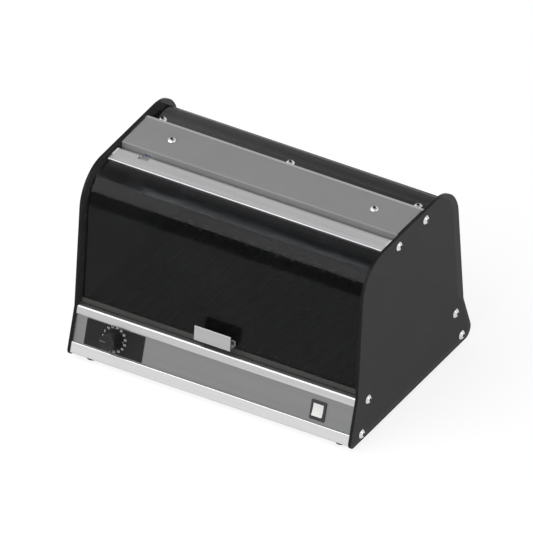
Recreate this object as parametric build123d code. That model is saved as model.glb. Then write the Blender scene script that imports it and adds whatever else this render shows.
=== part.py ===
import os
from math import sqrt

from build123d import *

# Table-top ultraviolet steriliser cabinet for chopsticks and cutlery: two smoked side panels
# carry aluminium extrusions, a bent smoked door that swings up, and a bent smoked back cover.
#
# Millimetres. X runs across the cabinet with 0 in the middle. The side view is drawn as
# (depth, height): depth runs back from the virtual front bottom corner of the side panels,
# height runs up from their bottom edge. The last step moves all pieces so that the origin
# is under the middle of the cabinet, on the surface that its feet stand on.

# --- Driving dimensions ---------------------------------------------------------------------
WIDTH = 490.0                # over the side panels
SHEET_T = 5.0                # smoked acrylic of the panels, door and back cover
HALF_IN = WIDTH / 2 - SHEET_T
HALF_FIT = HALF_IN - 2.0     # half width of sheets that hang between the panels
FOOT_H = 8.0                 # feet below the panels' bottom edge

# Side panel: (depth, height) of each virtual corner, and the radius that rounds it.
PANEL_CORNERS = [
    ((0.0, 0.0), 9.0),
    ((24.0, 78.0), 10.0),
    ((43.8, 304.0), 62.0),
    ((316.0, 304.0), 64.0),
    ((335.0, 78.0), 10.0),
    ((362.7, 0.0), 16.0),
]

# Screws through the side panels, as (depth, height).
PIVOT = (145.2, 287.2)
REAR_RAIL_PORT = (223.7, 287.8)
FASCIA_PORTS = [(54.6, 63.7), (35.2, 12.4)]
BASE_RAIL_PORTS = [(311.3, 64.3), (328.5, 14.6)]
PORT_R = 4.5                 # screw boss inside an extrusion
PORT_BORE_R = 2.5
SIDE_HOLE_R = 2.8
PORT_WEB_HALF = 1.2          # half thickness of the web that holds a boss
SHANK_R = 2.4
SIDE_SHANK = 22.0
DOME_R = 7.5
DOME_H = 4.4
SOCKET_R = 0.38              # hexagon socket: radius, as a share of the head's radius
SOCKET_FLOOR = 0.45          # and height of its floor, as a share of the head's height
TOP_HEAD = {"head_r": 7.0, "head_h": 4.0, "shank_r": 1.8}     # screws of the covers

# Fascia: distances up its leaning face from the panels' front bottom corner.
BEAD_INSET = 1.0             # face of the two beads behind the panels' edge
RECESS_INSET = 3.5
LOWER_BEAD_TOP = 25.4
UPPER_BEAD = (70.4, 84.0)
EXTRUSION_T = 2.0
LEDGE_TOP = 80.0             # top of the fascia, where the door comes down
SHELF_TOP = 75.5             # ledges that carry the chamber floor
LIP_BOTTOM = 4.5             # underside of the extrusions
LIP_BACK = 50.0
LEDGE_BACK = 43.0
SHELF_BACK = 73.0
SHELF_HEM = 9.0              # edge of the front shelf, turned down

# Timer, dial plate and rocker switch on the fascia.
PLATE_SIZE = (99.5, 41.4, 1.0)
PLATE_X = -171.0
DIAL_X = -172.0
DIAL_S = 49.0
FACE_MID_S = 47.9
TIMER_BODY = (44.0, 44.0, 32.0)
TIMER_SHAFT_R = 3.0
TIMER_NECK_HOLE_R = 5.4
TIMER_SCREW_X = (-15.0, 15.0)
TIMER_SCREW_HOLE_R = 1.7
TIMER_THREAD_R = 1.5
POINTER_TURN = 87.5          # at rest the pointer looks at the scale's zero, left of straight up
RUNNING_GAP = 0.05
KNOB_GAP = 0.6
KNOB_H = 22.0
KNOB_R = (14.4, 13.0)        # at the base and at the tip
ROCKER_X = 181.0
ROCKER_S = 46.0
BEZEL = (25.8, 31.0, 2.0)
SWITCH_BODY = (21.6, 26.6, 22.0)
SWITCH_WELL = (18.6, 22.3, 9.0)
ROCKER_HALF = (9.0, 10.2)
ROCKER_TILT = 8.0            # each way from level
ROCKER_AXIS_Z = -3.0         # under the fascia's face

# Door: a sheet bent over the front, clamped in an extrusion that turns on the pivots.
DOOR_INSET = 9.0             # door skin behind the panels' edge
DOOR_BOTTOM = 86.0
DOOR_TOP = 295.0
DOOR_BEND_R = 53.0
DOOR_BACK = 136.5
STRIP_FRONT = 108.5
STRIP_BACK = 139.0
STRIP_TOP = 298.2
RAIL_LEG = (136.5, 141.0)     # depth of the leg behind the door's back edge
RAIL_LEG_BOTTOM = 284.0
CLAMP_FRONT = 120.0          # lip under the door sheet
CLAMP_T = 2.0
RAIL_BOSS_R = 6.0
DOOR_HALF = HALF_IN - 3.6    # door sheet and rail, between their end caps
CAP_T = 1.0
CAP_FRONT = 122.0
BUSH_R = 3.0
CAP_TAB = 2.6                # of the cap, on top of the rail
NOTCH = (-198.5, -181.5)     # across, where the rail clears the door switch
NOTCH_FRONT = 130.0
NOTCH_FLOOR = 291.0
SWITCH_X = -193.0
SWITCH_SIZE = (8.6, 10.0, 16.0)
HANDLE_W = 62.7
HANDLE_X = -3.0
HANDLE_Z = (93.8, 119.8)
HANDLE_REACH = 17.7
HANDLE_T = 2.6
HANDLE_LEG = 10.0
HANDLE_CORNER_R = 3.0
HANDLE_SCREW_Z = 100.1
HANDLE_SCREW_X = (HANDLE_X - 20.0, HANDLE_X + 20.0)
HANDLE_HOLE_R = 1.7
HANDLE_THREAD_R = 1.6
BUMPER_X = (-200.0, 200.0)
BUMPER_R = 3.5
BUMPER_H = 0.9
SEAL_WALL = 1.2
SEAL_UNDER = 4.2             # below the door's bottom edge
SEAL_LAP = 5.0               # up the door's faces

# Top, back and lamp compartment.
COVER_T = 1.2
COVER_FRONT = 152.0
COVER_BACK = 224.0
COVER_TOP = 302.0
COVER_FLANGE_BOTTOM = 283.0
COVER_SCREWS = (175.0, 191.5)
COVER_HOLE_R = 2.2
BACK_HOLE_R = 2.1
RAIL_THREAD_R = 1.9          # holes in the rails for the covers' screws
TOP_SHELF_FRONT = 184.0
TOP_WALL = 229.0             # rear rail's wall, between its shelf and its lower flange
TOP_FLANGE_BACK = 252.0
BACK_TOP = 292.5
BACK_START = 231.0
BACK_INSET = 7.5
BACK_BEND_R = 52.0
BACK_BOTTOM = 84.0
BACK_SCREW_X = (-221.0, 0.0, 221.0)
BACK_SCREW_DEPTH = 242.0
BACK_LOW_SCREW_Z = 95.0
UPSTAND_TOP = 104.0          # of the rear base rail, inside the back cover
BASE_RAIL_TOP = 81.0
RAIL_INSET = 2.0             # rear base rail behind the panels' edge
HOUSING_X = (-135.0, HALF_FIT)
HOUSING_FRONT = 153.6
HOUSING_BACK = 212.0
HOUSING_BOTTOM = 239.0
HOUSING_TOP = 298.8
HOUSING_T = 1.0
HOUSING_FLOOR = HOUSING_BOTTOM + HOUSING_T
HOUSING_MID = 184.0          # depth at which the tube and the electrical parts are centred
HOUSING_SCREWS = [(-116.0, 246.0), (106.0, 246.0)]
REFLECTOR_HALF = 233.0
TUBE_R = 13.0
TUBE_HALF = 218.5
TUBE_AT = (HOUSING_MID, 216.0)
TUBE_WALL = 1.0
TUBE_CAP = 12.0
PIN_R = 1.2
PIN_PITCH = 12.7
STARTER_AT = (HOUSING_MID, HOUSING_FLOOR + 14.0)
STARTER_R = 10.7
STUD_R = 1.6
STUD_DZ = (-6.3, 6.3)
BALLAST_X = 90.0
TERMINALS_X = -30.0

# Base.
FLOOR_PLATE_T = 1.0
FLOOR_PLATE_Y = (44.0, 319.5)
FLOOR_SLOT = (52.0, 7.0)
BASE_PLATE_T = 1.0
BASE_PLATE_Y = (12.0, 346.0)
FOOT_R = 10.0
FOOT_X = 215.0
FOOT_Y = (27.0, 331.0)
FOOT_HOLE_R = 2.2            # in the base plate and the extrusions' lips
FOOT_RECESS_R = 4.6
FOOT_RECESS = 5.0
INLET_X = 150.0
INLET_S = 40.0
INLET_FLANGE = (48.0, 26.0, 2.4)
INLET_BODY = (27.4, 19.6, 18.0)
INLET_WELL = (24.0, 16.2, 14.5)
INLET_SCREW_X = (-20.0, 20.0)

CENTRE_UP = (Align.CENTER, Align.CENTER, Align.MIN)
CENTRE_DOWN = (Align.CENTER, Align.CENTER, Align.MAX)
nodes = {}


# --- Building helpers -----------------------------------------------------------------------
def node(name, *pieces):
    """Keep a sub-part under its name: one piece, or several separate pieces of one kind."""
    nodes[name] = Compound([solid for piece in pieces for solid in piece.solids()])


def outline(points, radii):
    """Side-view face from its corner points, each rounded by its own radius. It is turned to
    look along +X, because only faces that look the same way join into one."""
    face = make_face(Plane.YZ * FilletPolyline(*points, radius=radii, close=True)).face()
    return Sketch() + (face if face.normal_at().X > 0 else -face)


def rectangle(depth, height):
    """Side-view rectangle from (low, high) depth and (low, high) height."""
    corners = [(depth[0], height[0]), (depth[1], height[0]), (depth[1], height[1]), (depth[0], height[1])]
    return outline(corners, [0] * 4)


def across(face, low, high):
    """Carry a side-view face across the cabinet, from x = low to x = high."""
    return extrude(Pos(low, 0, 0) * face, amount=high - low, dir=(1, 0, 0))


def both_sides(face, half):
    """Carry a side-view face across, evenly to both sides."""
    return across(face, -half, half)


def bent_sheet(path, radii, thickness):
    """Side-view face of a bent sheet. path is one skin, with a radius at each bend, and the
    sheet lies on the right-hand side of it. The other skin's corners are where the offset
    lines meet, and its bends are tighter or wider by the thickness."""
    runs = [Vector(*b) - Vector(*a) for a, b in zip(path, path[1:])]
    runs = [run.normalized() for run in runs]
    rights = [Vector(run.Y, -run.X) for run in runs]
    other = [Vector(*path[0]) + rights[0] * thickness]
    other_radii = []
    for corner, radius, before, after, run, next_run in zip(
        path[1:-1], radii, rights, rights[1:], runs, runs[1:]
    ):
        other.append(Vector(*corner) + (before + after) * (thickness / (1 + before.dot(after))))
        turns_left = run.cross(next_run).Z > 0
        other_radii.append(max(radius + (thickness if turns_left else -thickness), 0))
    other.append(Vector(*path[-1]) + rights[-1] * thickness)
    points = list(path) + [(p.X, p.Y) for p in reversed(other)]
    return outline(points, [0, *radii, 0, 0, *reversed(other_radii), 0])


def rod(start, direction, radius, length):
    """Round bar from a point along a direction."""
    return Plane(origin=start, z_dir=direction) * Cylinder(radius, length, align=CENTRE_UP)


def disc(at, radius):
    """Side-view disc."""
    return Plane.YZ * Pos(*at) * Circle(radius)


def dome_screw(at, outward, shank, head_r=DOME_R, head_h=DOME_H, shank_r=SHANK_R):
    """Dome-head screw with a hexagon socket. at is under the head, outward is the way the
    head looks. The dome is a slice of a sphere through its rim and its crown."""
    ball = (head_r**2 + head_h**2) / (2 * head_h)
    head = Pos(0, 0, head_h - ball) * Sphere(ball) & Cylinder(head_r, head_h, align=CENTRE_UP)
    socket = extrude(RegularPolygon(SOCKET_R * head_r, 6), amount=head_h)
    body = head - Pos(0, 0, SOCKET_FLOOR * head_h) * socket + Cylinder(shank_r, shank, align=CENTRE_DOWN)
    return Plane(origin=at, z_dir=outward) * body


def lean_point(origin, up, s, t):
    """Point s up a leaning face and t behind it. up is the face's unit direction, and
    'behind' is to the right of it for the front and to the left of it for the back."""
    side = 1 if up[0] > 0 else -1
    return (origin[0] + up[0] * s + side * up[1] * t, origin[1] + up[1] * s - side * up[0] * t)


def unit(a, b):
    """Unit direction from one side-view point to another."""
    length = sqrt((b[0] - a[0]) ** 2 + (b[1] - a[1]) ** 2)
    return ((b[0] - a[0]) / length, (b[1] - a[1]) / length)


CORNER = [corner for corner, radius in PANEL_CORNERS]
FRONT_UP = unit(CORNER[0], CORNER[1])
DOOR_UP = unit(CORNER[1], CORNER[2])
BACK_UP = unit(CORNER[4], CORNER[3])
REAR_UP = unit(CORNER[5], CORNER[4])


def front(s, t):
    """Point on or behind the leaning front edge below the door."""
    return lean_point(CORNER[0], FRONT_UP, s, t)


def rear(s, t):
    """Point on or inside the leaning rear edge below the back cover."""
    return lean_point(CORNER[5], REAR_UP, s, t)


def on_height(base, up, inset, height):
    """Point at a given height on the line that lies inset behind a leaning edge."""
    foot = lean_point(base, up, 0, inset)
    return (foot[0] + (height - foot[1]) * up[0] / up[1], height)


def door_skin(height, behind=0.0):
    """Point on the door's outer skin at a height below the bend, or square behind it."""
    depth, height = on_height(CORNER[1], DOOR_UP, DOOR_INSET, height)
    return (depth + behind * DOOR_UP[1], height - behind * DOOR_UP[0])


def back_skin(height, behind=0.0):
    """Point on the back cover's outer skin at a height below the bend, or square inside it."""
    depth, height = on_height(CORNER[4], BACK_UP, BACK_INSET, height)
    return (depth - behind * BACK_UP[1], height + behind * BACK_UP[0])


def front_plane(x, s, t):
    """Work plane on the fascia: X across, Y up the face, Z outwards."""
    return Plane(origin=(x, *front(s, t)), x_dir=(1, 0, 0), z_dir=(0, -FRONT_UP[1], FRONT_UP[0]))


def rear_plane(x, s, t):
    """Work plane on the rear base rail, seen from behind: Y up the face, Z outwards."""
    return Plane(origin=(x, *rear(s, t)), x_dir=(-1, 0, 0), z_dir=(0, REAR_UP[1], -REAR_UP[0]))


def block(size, align=CENTRE_UP, round_r=0.0):
    """Block on a work plane, with its four upright edges rounded."""
    body = Box(*size, align=align)
    return fillet(body.edges().filter_by(Axis.Z), round_r) if round_r else body


# --- Side panels and their screws -----------------------------------------------------------
def side_panel(side):
    """Smoked panel with a softened rim, five screw holes and the pivot bush's hole."""
    face = outline(CORNER, [radius for corner, radius in PANEL_CORNERS])
    panel = across(face, HALF_IN, WIDTH / 2)
    rims = panel.faces().filter_by(Axis.X)
    panel = chamfer([edge for rim in rims for edge in rim.edges()], 0.5)
    for at in [REAR_RAIL_PORT, *FASCIA_PORTS, *BASE_RAIL_PORTS]:
        panel -= across(disc(at, SIDE_HOLE_R), HALF_IN - 1, WIDTH / 2 + 1)
    panel -= across(disc(PIVOT, BUSH_R + 1.0), HALF_IN - 1, WIDTH / 2 + 1)
    return panel if side > 0 else mirror(panel, about=Plane.YZ)


def side_screws(side):
    """Five dome screws that draw a panel onto the extrusions."""
    return [
        dome_screw((side * WIDTH / 2, *at), (side, 0, 0), SIDE_SHANK)
        for at in [REAR_RAIL_PORT, *FASCIA_PORTS, *BASE_RAIL_PORTS]
    ]


def pivot_bush(side):
    """Nylon bush: a plug in the panel, a collar inside it, and a spigot in the door rail."""
    bush = across(disc(PIVOT, BUSH_R + 0.9), HALF_IN, WIDTH / 2)
    bush += across(disc(PIVOT, BUSH_R + 2.2), DOOR_HALF + CAP_T + 0.2, HALF_IN)
    bush += across(disc(PIVOT, BUSH_R), DOOR_HALF - 12, HALF_IN)
    bush -= across(disc(PIVOT, SHANK_R + 0.05), DOOR_HALF - 20, WIDTH / 2 + 1)
    return bush if side > 0 else mirror(bush, about=Plane.YZ)


for name, side in (("left", -1), ("right", 1)):
    node(f"side_panel_{name}", side_panel(side))
    node(f"side_screws_{name}", *side_screws(side))
node("pivot_bushes", pivot_bush(-1), pivot_bush(1))
node("pivot_screws", *[dome_screw((s * WIDTH / 2, *PIVOT), (s, 0, 0), 16) for s in (-1, 1)])


# --- Front fascia ---------------------------------------------------------------------------
def screw_ports(ports):
    """Side-view bosses for two side screws, the upper one hung from the shelf and the lower
    one stood on the lip, each by a web."""
    upper, lower = ports
    webs = [(upper, (upper[1] + 3, SHELF_TOP - 1)), (lower, (LIP_BOTTOM + 1, lower[1] - 3))]
    face = Sketch()
    for at, height in webs:
        face += disc(at, PORT_R) + rectangle((at[0] - PORT_WEB_HALF, at[0] + PORT_WEB_HALF), height)
    return face


def front_fascia():
    """Extrusion with a bead, a recess and a second bead up its leaning face, a ledge for the
    door, a lower ledge for the chamber floor, and a lip that carries the base plate."""
    path = [
        (LIP_BACK, LIP_BOTTOM),
        on_height(CORNER[0], FRONT_UP, BEAD_INSET, LIP_BOTTOM),
        front(LOWER_BEAD_TOP, BEAD_INSET),
        front(LOWER_BEAD_TOP, RECESS_INSET),
        front(UPPER_BEAD[0], RECESS_INSET),
        front(UPPER_BEAD[0], BEAD_INSET),
        front(UPPER_BEAD[1], BEAD_INSET),
        (LEDGE_BACK, LEDGE_TOP),
        (LEDGE_BACK, SHELF_TOP),
        (SHELF_BACK, SHELF_TOP),
        (SHELF_BACK, SHELF_TOP - SHELF_HEM),
    ]
    radii = [4.0, 1.4, 0.3, 0.3, 1.2, 4.0, 0.8, 0.3, 1.0]
    face = bent_sheet(path, radii, EXTRUSION_T)
    face += screw_ports(FASCIA_PORTS)
    for at in FASCIA_PORTS:
        face -= disc(at, PORT_BORE_R)
    body = both_sides(face, HALF_IN)
    body -= front_plane(DIAL_X, DIAL_S, RECESS_INSET + 5) * Cylinder(TIMER_NECK_HOLE_R, 10, align=CENTRE_UP)
    for dx in TIMER_SCREW_X:
        at = front_plane(DIAL_X + dx, DIAL_S, RECESS_INSET + 5)
        body -= at * Cylinder(TIMER_SCREW_HOLE_R, 10, align=CENTRE_UP)
    window = (SWITCH_BODY[0] + 0.4, SWITCH_BODY[1] + 0.4, 12)
    body -= front_plane(ROCKER_X, ROCKER_S, RECESS_INSET + 6) * block(window)
    for x in (-FOOT_X, FOOT_X):
        body -= rod((x, FOOT_Y[0], LIP_BOTTOM - 1), (0, 0, 1), FOOT_HOLE_R, 4)
    return body


node("front_fascia", front_fascia())


# --- Timer and its knob ---------------------------------------------------------------------
def timer_plate():
    """Thin dark plate in the recess, with a hole for the shaft and two fixing holes."""
    plate = front_plane(PLATE_X, FACE_MID_S, RECESS_INSET) * block(PLATE_SIZE, round_r=0.8)
    neck = Cylinder(TIMER_NECK_HOLE_R, 5, align=CENTRE_UP)
    plate -= front_plane(DIAL_X, DIAL_S, RECESS_INSET + 1) * neck
    for dx in TIMER_SCREW_X:
        at = front_plane(DIAL_X + dx, DIAL_S, RECESS_INSET + 1)
        plate -= at * Cylinder(TIMER_SCREW_HOLE_R, 5, align=CENTRE_UP)
    return plate


def timer_body():
    """Clockwork case behind the fascia: box, gearbox cap and threaded neck with the bore."""
    plane = front_plane(DIAL_X, DIAL_S, RECESS_INSET + EXTRUSION_T)
    case = block(TIMER_BODY, align=CENTRE_DOWN, round_r=3)
    case += Pos(0, 0, -TIMER_BODY[2]) * Cylinder(14, 5, align=CENTRE_DOWN)
    case += Cylinder(5.0, EXTRUSION_T + 0.8, align=CENTRE_UP)
    case -= Pos(0, 0, -12) * Cylinder(TIMER_SHAFT_R + RUNNING_GAP, 20, align=CENTRE_UP)
    for dx in TIMER_SCREW_X:
        case -= Pos(dx, 0, 0) * Cylinder(TIMER_THREAD_R, 7, align=CENTRE_DOWN)
    return plane * case


def timer_shaft():
    """Steel shaft from the clockwork to inside the knob."""
    plane = front_plane(DIAL_X, DIAL_S, RECESS_INSET + EXTRUSION_T)
    return plane * (Pos(0, 0, -11.8) * Cylinder(TIMER_SHAFT_R, 31, align=CENTRE_UP))


def timer_knob():
    """Tapered knob with a rounded crown, a blind bore for the shaft and a pointer groove."""
    base, tip = KNOB_R
    body = Cone(base, tip, KNOB_H, align=CENTRE_UP)
    body = fillet(body.edges().sort_by(Axis.Z)[-1], 1.4)
    body -= Cylinder(TIMER_SHAFT_R + 0.01, 17.4, align=CENTRE_UP)
    body -= Cylinder(8.0, 2.0, align=CENTRE_UP)
    groove = Box(1.8, 9.0, 0.9, align=(Align.CENTER, Align.MIN, Align.MAX))
    body -= Rot(0, 0, POINTER_TURN) * Pos(0, 3.0, KNOB_H + 0.01) * groove
    plate_face = RECESS_INSET - PLATE_SIZE[2]
    return front_plane(DIAL_X, DIAL_S, plate_face - KNOB_GAP) * body


def timer_screws():
    """Two pan-head screws that hold the timer against the fascia."""
    screws = []
    for dx in TIMER_SCREW_X:
        head = Cylinder(1.65, 0.9, align=CENTRE_DOWN)
        shank = Pos(0, 0, -0.9) * Cylinder(1.4, 7.0, align=CENTRE_DOWN)
        screws.append(front_plane(DIAL_X + dx, DIAL_S, RECESS_INSET - PLATE_SIZE[2]) * (head + shank))
    return screws


node("timer_plate", timer_plate())
node("timer_body", timer_body())
node("timer_shaft", timer_shaft())
node("timer_knob", timer_knob())
node("timer_screws", *timer_screws())


# --- Rocker switch --------------------------------------------------------------------------
def switch_body():
    """Switch case: bezel on the fascia, snap-in body behind it, well for the rocker."""
    case = block(BEZEL, round_r=1.5)
    case = chamfer(case.edges().group_by(Axis.Z)[-1], 0.6)
    case += block(SWITCH_BODY, align=CENTRE_DOWN)
    case -= Pos(0, 0, BEZEL[2] + 1) * block(
        (SWITCH_WELL[0], SWITCH_WELL[1], SWITCH_WELL[2] + 3), align=CENTRE_DOWN
    )
    pin_hole = Rot(0, 90, 0) * Cylinder(1.55, 2 * ROCKER_HALF[0] + 2.4)
    case -= Pos(0, 0, ROCKER_AXIS_Z) * pin_hole
    for dx, dy in ((-5.0, 7.0), (-5.0, 0.0), (5.0, 7.0), (5.0, 0.0)):
        case += Pos(dx, dy, -SWITCH_BODY[2]) * Box(0.8, 4.8, 8.0, align=CENTRE_DOWN)
    return front_plane(ROCKER_X, ROCKER_S, RECESS_INSET) * case


def rocker_button():
    """Dished rocker on two pins, tipped to one side as it rests."""
    half = ROCKER_HALF[1]
    crown = [(-half, 3.4), (0, 1.9), (half, 3.4)]
    edge = [Line((half, 3.4), (half - 0.8, -4.6)), Line((half - 0.8, -4.6), (0.8 - half, -4.6))]
    edge.append(Line((0.8 - half, -4.6), (-half, 3.4)))
    face = make_face(Plane.YZ * Curve([ThreePointArc(*crown), *edge]))
    body = extrude(Pos(-ROCKER_HALF[0], 0, 0) * face, amount=2 * ROCKER_HALF[0], dir=(1, 0, 0))
    body += Pos(0, 0, ROCKER_AXIS_Z) * Rot(0, 90, 0) * Cylinder(1.5, 2 * ROCKER_HALF[0] + 2.0)
    tipped = Pos(0, 0, ROCKER_AXIS_Z) * Rot(-ROCKER_TILT, 0, 0) * Pos(0, 0, -ROCKER_AXIS_Z) * body
    return front_plane(ROCKER_X, ROCKER_S, RECESS_INSET) * tipped


node("switch_body", switch_body())
node("rocker_button", rocker_button())


# --- Door -----------------------------------------------------------------------------------
def notched(body):
    """Cut the notch through which the door switch's button reaches the rail."""
    cut = rectangle((NOTCH_FRONT, COVER_FRONT), (NOTCH_FLOOR, STRIP_TOP + 1))
    return body - across(cut, *NOTCH)


def door_panel():
    """Smoked sheet, bent over from the leaning front to the level top."""
    bend = on_height(CORNER[1], DOOR_UP, DOOR_INSET, DOOR_TOP)
    path = [door_skin(DOOR_BOTTOM), bend, (DOOR_BACK, DOOR_TOP)]
    panel = both_sides(bent_sheet(path, [DOOR_BEND_R], SHEET_T), DOOR_HALF)
    for x in HANDLE_SCREW_X:
        panel -= rod((x, *door_skin(HANDLE_SCREW_Z, -1)), (0, DOOR_UP[1], -DOOR_UP[0]), HANDLE_HOLE_R, 8)
    return notched(panel)


def door_hinge_rail():
    """Extrusion that clamps the door between a wide top strip and a short lower leg, with a
    round boss that turns on the pivot bushes."""
    strip = [(STRIP_FRONT, DOOR_TOP), (STRIP_FRONT, STRIP_TOP), (STRIP_BACK, STRIP_TOP)]
    strip += [(STRIP_BACK, DOOR_TOP)]
    face = outline(strip, [0.3, 1.2, 0.8, 0])
    leg = rectangle(RAIL_LEG, (RAIL_LEG_BOTTOM, DOOR_TOP))
    face += leg - rectangle((STRIP_BACK, RAIL_LEG[1] + 1), (DOOR_TOP - 2, DOOR_TOP + 1))
    under = DOOR_TOP - SHEET_T
    face += rectangle((CLAMP_FRONT, RAIL_LEG[1]), (under - CLAMP_T, under))
    face += disc(PIVOT, RAIL_BOSS_R)
    face -= disc(PIVOT, BUSH_R + RUNNING_GAP)
    rail = both_sides(face, DOOR_HALF)
    seat = rectangle((CAP_FRONT, STRIP_BACK + 1), (DOOR_TOP, STRIP_TOP + 1))
    for side in (-1, 1):
        rail -= across(seat, *sorted((side * (DOOR_HALF - CAP_TAB), side * (DOOR_HALF + 1))))
    return notched(rail)


def rail_end_cap(side):
    """White plastic cap on an end of the rail, with a tab let into the rail's top."""
    low = DOOR_TOP - SHEET_T - CLAMP_T
    corners = [(CAP_FRONT, low), (CAP_FRONT, STRIP_TOP), (STRIP_BACK, STRIP_TOP), (STRIP_BACK, low)]
    cap = across(outline(corners, [1] * 4), *sorted((side * DOOR_HALF, side * (DOOR_HALF + CAP_T))))
    tab = rectangle((CAP_FRONT, STRIP_BACK), (DOOR_TOP, STRIP_TOP))
    return cap + across(tab, *sorted((side * (DOOR_HALF - CAP_TAB), side * (DOOR_HALF + CAP_T / 2))))


def door_seal():
    """Soft channel on the door's bottom edge."""
    low, high = DOOR_BOTTOM - SEAL_UNDER, DOOR_BOTTOM + SEAL_LAP
    path = [
        door_skin(high, SHEET_T + SEAL_WALL),
        door_skin(low, SHEET_T + SEAL_WALL),
        door_skin(low, -SEAL_WALL),
        door_skin(high, -SEAL_WALL),
    ]
    body = outline(path, [0.4, 1.4, 1.4, 0.4])
    door = [door_skin(height) for height in (DOOR_BOTTOM, high + 1)]
    door += [door_skin(height, SHEET_T) for height in (high + 1, DOOR_BOTTOM)]
    return both_sides(body - outline(door, [0] * 4), DOOR_HALF)


def door_handle():
    """Hook-shaped extrusion: pull plate in front, web under it, leg screwed to the door."""
    low, high = HANDLE_Z
    plate_foot = (door_skin(low)[0] - HANDLE_REACH, low)
    plate_top = (door_skin(high)[0] - HANDLE_REACH, high)
    path = [door_skin(low + HANDLE_LEG), door_skin(low), plate_foot, plate_top]
    section = bent_sheet(path, [2.8, 3.0], HANDLE_T)
    body = across(section, HANDLE_X - HANDLE_W / 2, HANDLE_X + HANDLE_W / 2)
    outer = RectangleRounded(HANDLE_W, high - low, HANDLE_CORNER_R)
    middle = (HANDLE_X, 0, (low + high) / 2)
    front_view = Plane(origin=middle, x_dir=(1, 0, 0), z_dir=(0, -1, 0)) * outer
    body &= extrude(front_view, amount=60, both=True)
    for x in HANDLE_SCREW_X:
        body -= rod((x, *door_skin(HANDLE_SCREW_Z, 1)), (0, -DOOR_UP[1], DOOR_UP[0]), HANDLE_THREAD_R, 5.0)
    return body


def handle_screw(x):
    """Screw from inside the door into the handle's leg."""
    at = (x, *door_skin(HANDLE_SCREW_Z, SHEET_T))
    inward = (0, DOOR_UP[1], -DOOR_UP[0])
    return dome_screw(at, inward, SHEET_T + 1.6, head_r=3.2, head_h=1.9, shank_r=1.5)


node("door_panel", door_panel())
node("door_hinge_rail", door_hinge_rail())
node("rail_end_caps", rail_end_cap(-1), rail_end_cap(1))
node("door_seal", door_seal())
node("door_handle", door_handle())
node("handle_screws", *[handle_screw(x) for x in HANDLE_SCREW_X])
under_door = (door_skin(LEDGE_TOP, SHEET_T / 2)[0], LEDGE_TOP)
node("door_bumpers", *[rod((x, *under_door), (0, 0, 1), BUMPER_R, BUMPER_H) for x in BUMPER_X])


# --- Door switch ----------------------------------------------------------------------------
def door_switch():
    """Sealed switch behind the cover's front flange, with a bore for its button."""
    case = Pos(SWITCH_X, COVER_FRONT + COVER_T + 0.2, PIVOT[1] + 1.0) * Box(
        *SWITCH_SIZE, align=(Align.CENTER, Align.MIN, Align.CENTER)
    )
    case = fillet(case.edges().filter_by(Axis.Y), 1.0)
    stem = Pos(SWITCH_X, COVER_FRONT + COVER_T + 5.2, PIVOT[1] + 9) * Box(6, 4, 4.6, align=CENTRE_UP)
    return case + stem - rod((SWITCH_X, COVER_FRONT, PIVOT[1]), (0, 1, 0), 1.65, 7.5)


def switch_plunger():
    """Button of the door switch, held in by the closed door's rail."""
    button = rod((SWITCH_X, PIVOT[0] + 6.6, PIVOT[1]), (0, 1, 0), 1.5, 6.0)
    return fillet(button.edges().sort_by(Axis.Y)[0], 0.4)


node("door_switch", door_switch())
node("switch_plunger", switch_plunger())


# --- Top cover and rear rail ----------------------------------------------------------------
def top_cover():
    """Sheet cover with a front flange and two screw holes. The flange has a window in front
    of the door switch."""
    path = [
        (COVER_FRONT, COVER_FLANGE_BOTTOM),
        (COVER_FRONT, COVER_TOP),
        (COVER_BACK, COVER_TOP),
    ]
    cover = both_sides(bent_sheet(path, [2.4], COVER_T), HALF_FIT - 0.5)
    for side in (-1, 1):
        at = (side * COVER_SCREWS[0], COVER_SCREWS[1], COVER_TOP - 3)
        cover -= rod(at, (0, 0, 1), COVER_HOLE_R, 6)
    window = rectangle((COVER_FRONT - 1, COVER_FRONT + 2), (PIVOT[1] - 3.5, PIVOT[1] + 5.5))
    return cover - across(window, SWITCH_X - 5, SWITCH_X + 5)


def top_rear_rail():
    """Extrusion across the top: shelf under the cover, wall with the screw port, and a lower
    flange that carries the back cover."""
    under_cover = COVER_TOP - COVER_T
    under_back = BACK_TOP - SHEET_T
    path = [
        (TOP_SHELF_FRONT, under_cover),
        (TOP_WALL, under_cover),
        (TOP_WALL, under_back),
        (TOP_FLANGE_BACK, under_back),
    ]
    face = bent_sheet(path, [1.0, 0.3], EXTRUSION_T)
    face += disc(REAR_RAIL_PORT, PORT_R)
    face -= disc(REAR_RAIL_PORT, PORT_BORE_R)
    face += rectangle((COVER_BACK + 0.3, TOP_WALL), (under_cover - 0.5, COVER_TOP))
    rail = both_sides(face, HALF_IN)
    for side in (-1, 1):
        at = (side * COVER_SCREWS[0], COVER_SCREWS[1], COVER_TOP - 6)
        rail -= rod(at, (0, 0, 1), RAIL_THREAD_R, 6)
    for x in BACK_SCREW_X:
        rail -= rod((x, BACK_SCREW_DEPTH, under_back - 4), (0, 0, 1), RAIL_THREAD_R, 6)
    return rail


def top_screw(x, depth, height, shank):
    """Dome screw that looks up."""
    return dome_screw((x, depth, height), (0, 0, 1), shank, **TOP_HEAD)


node("top_cover", top_cover())
node("top_rear_rail", top_rear_rail())
cover_screws = [top_screw(s * COVER_SCREWS[0], COVER_SCREWS[1], COVER_TOP, 7.0) for s in (-1, 1)]
node("top_cover_screws", *cover_screws)


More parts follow.
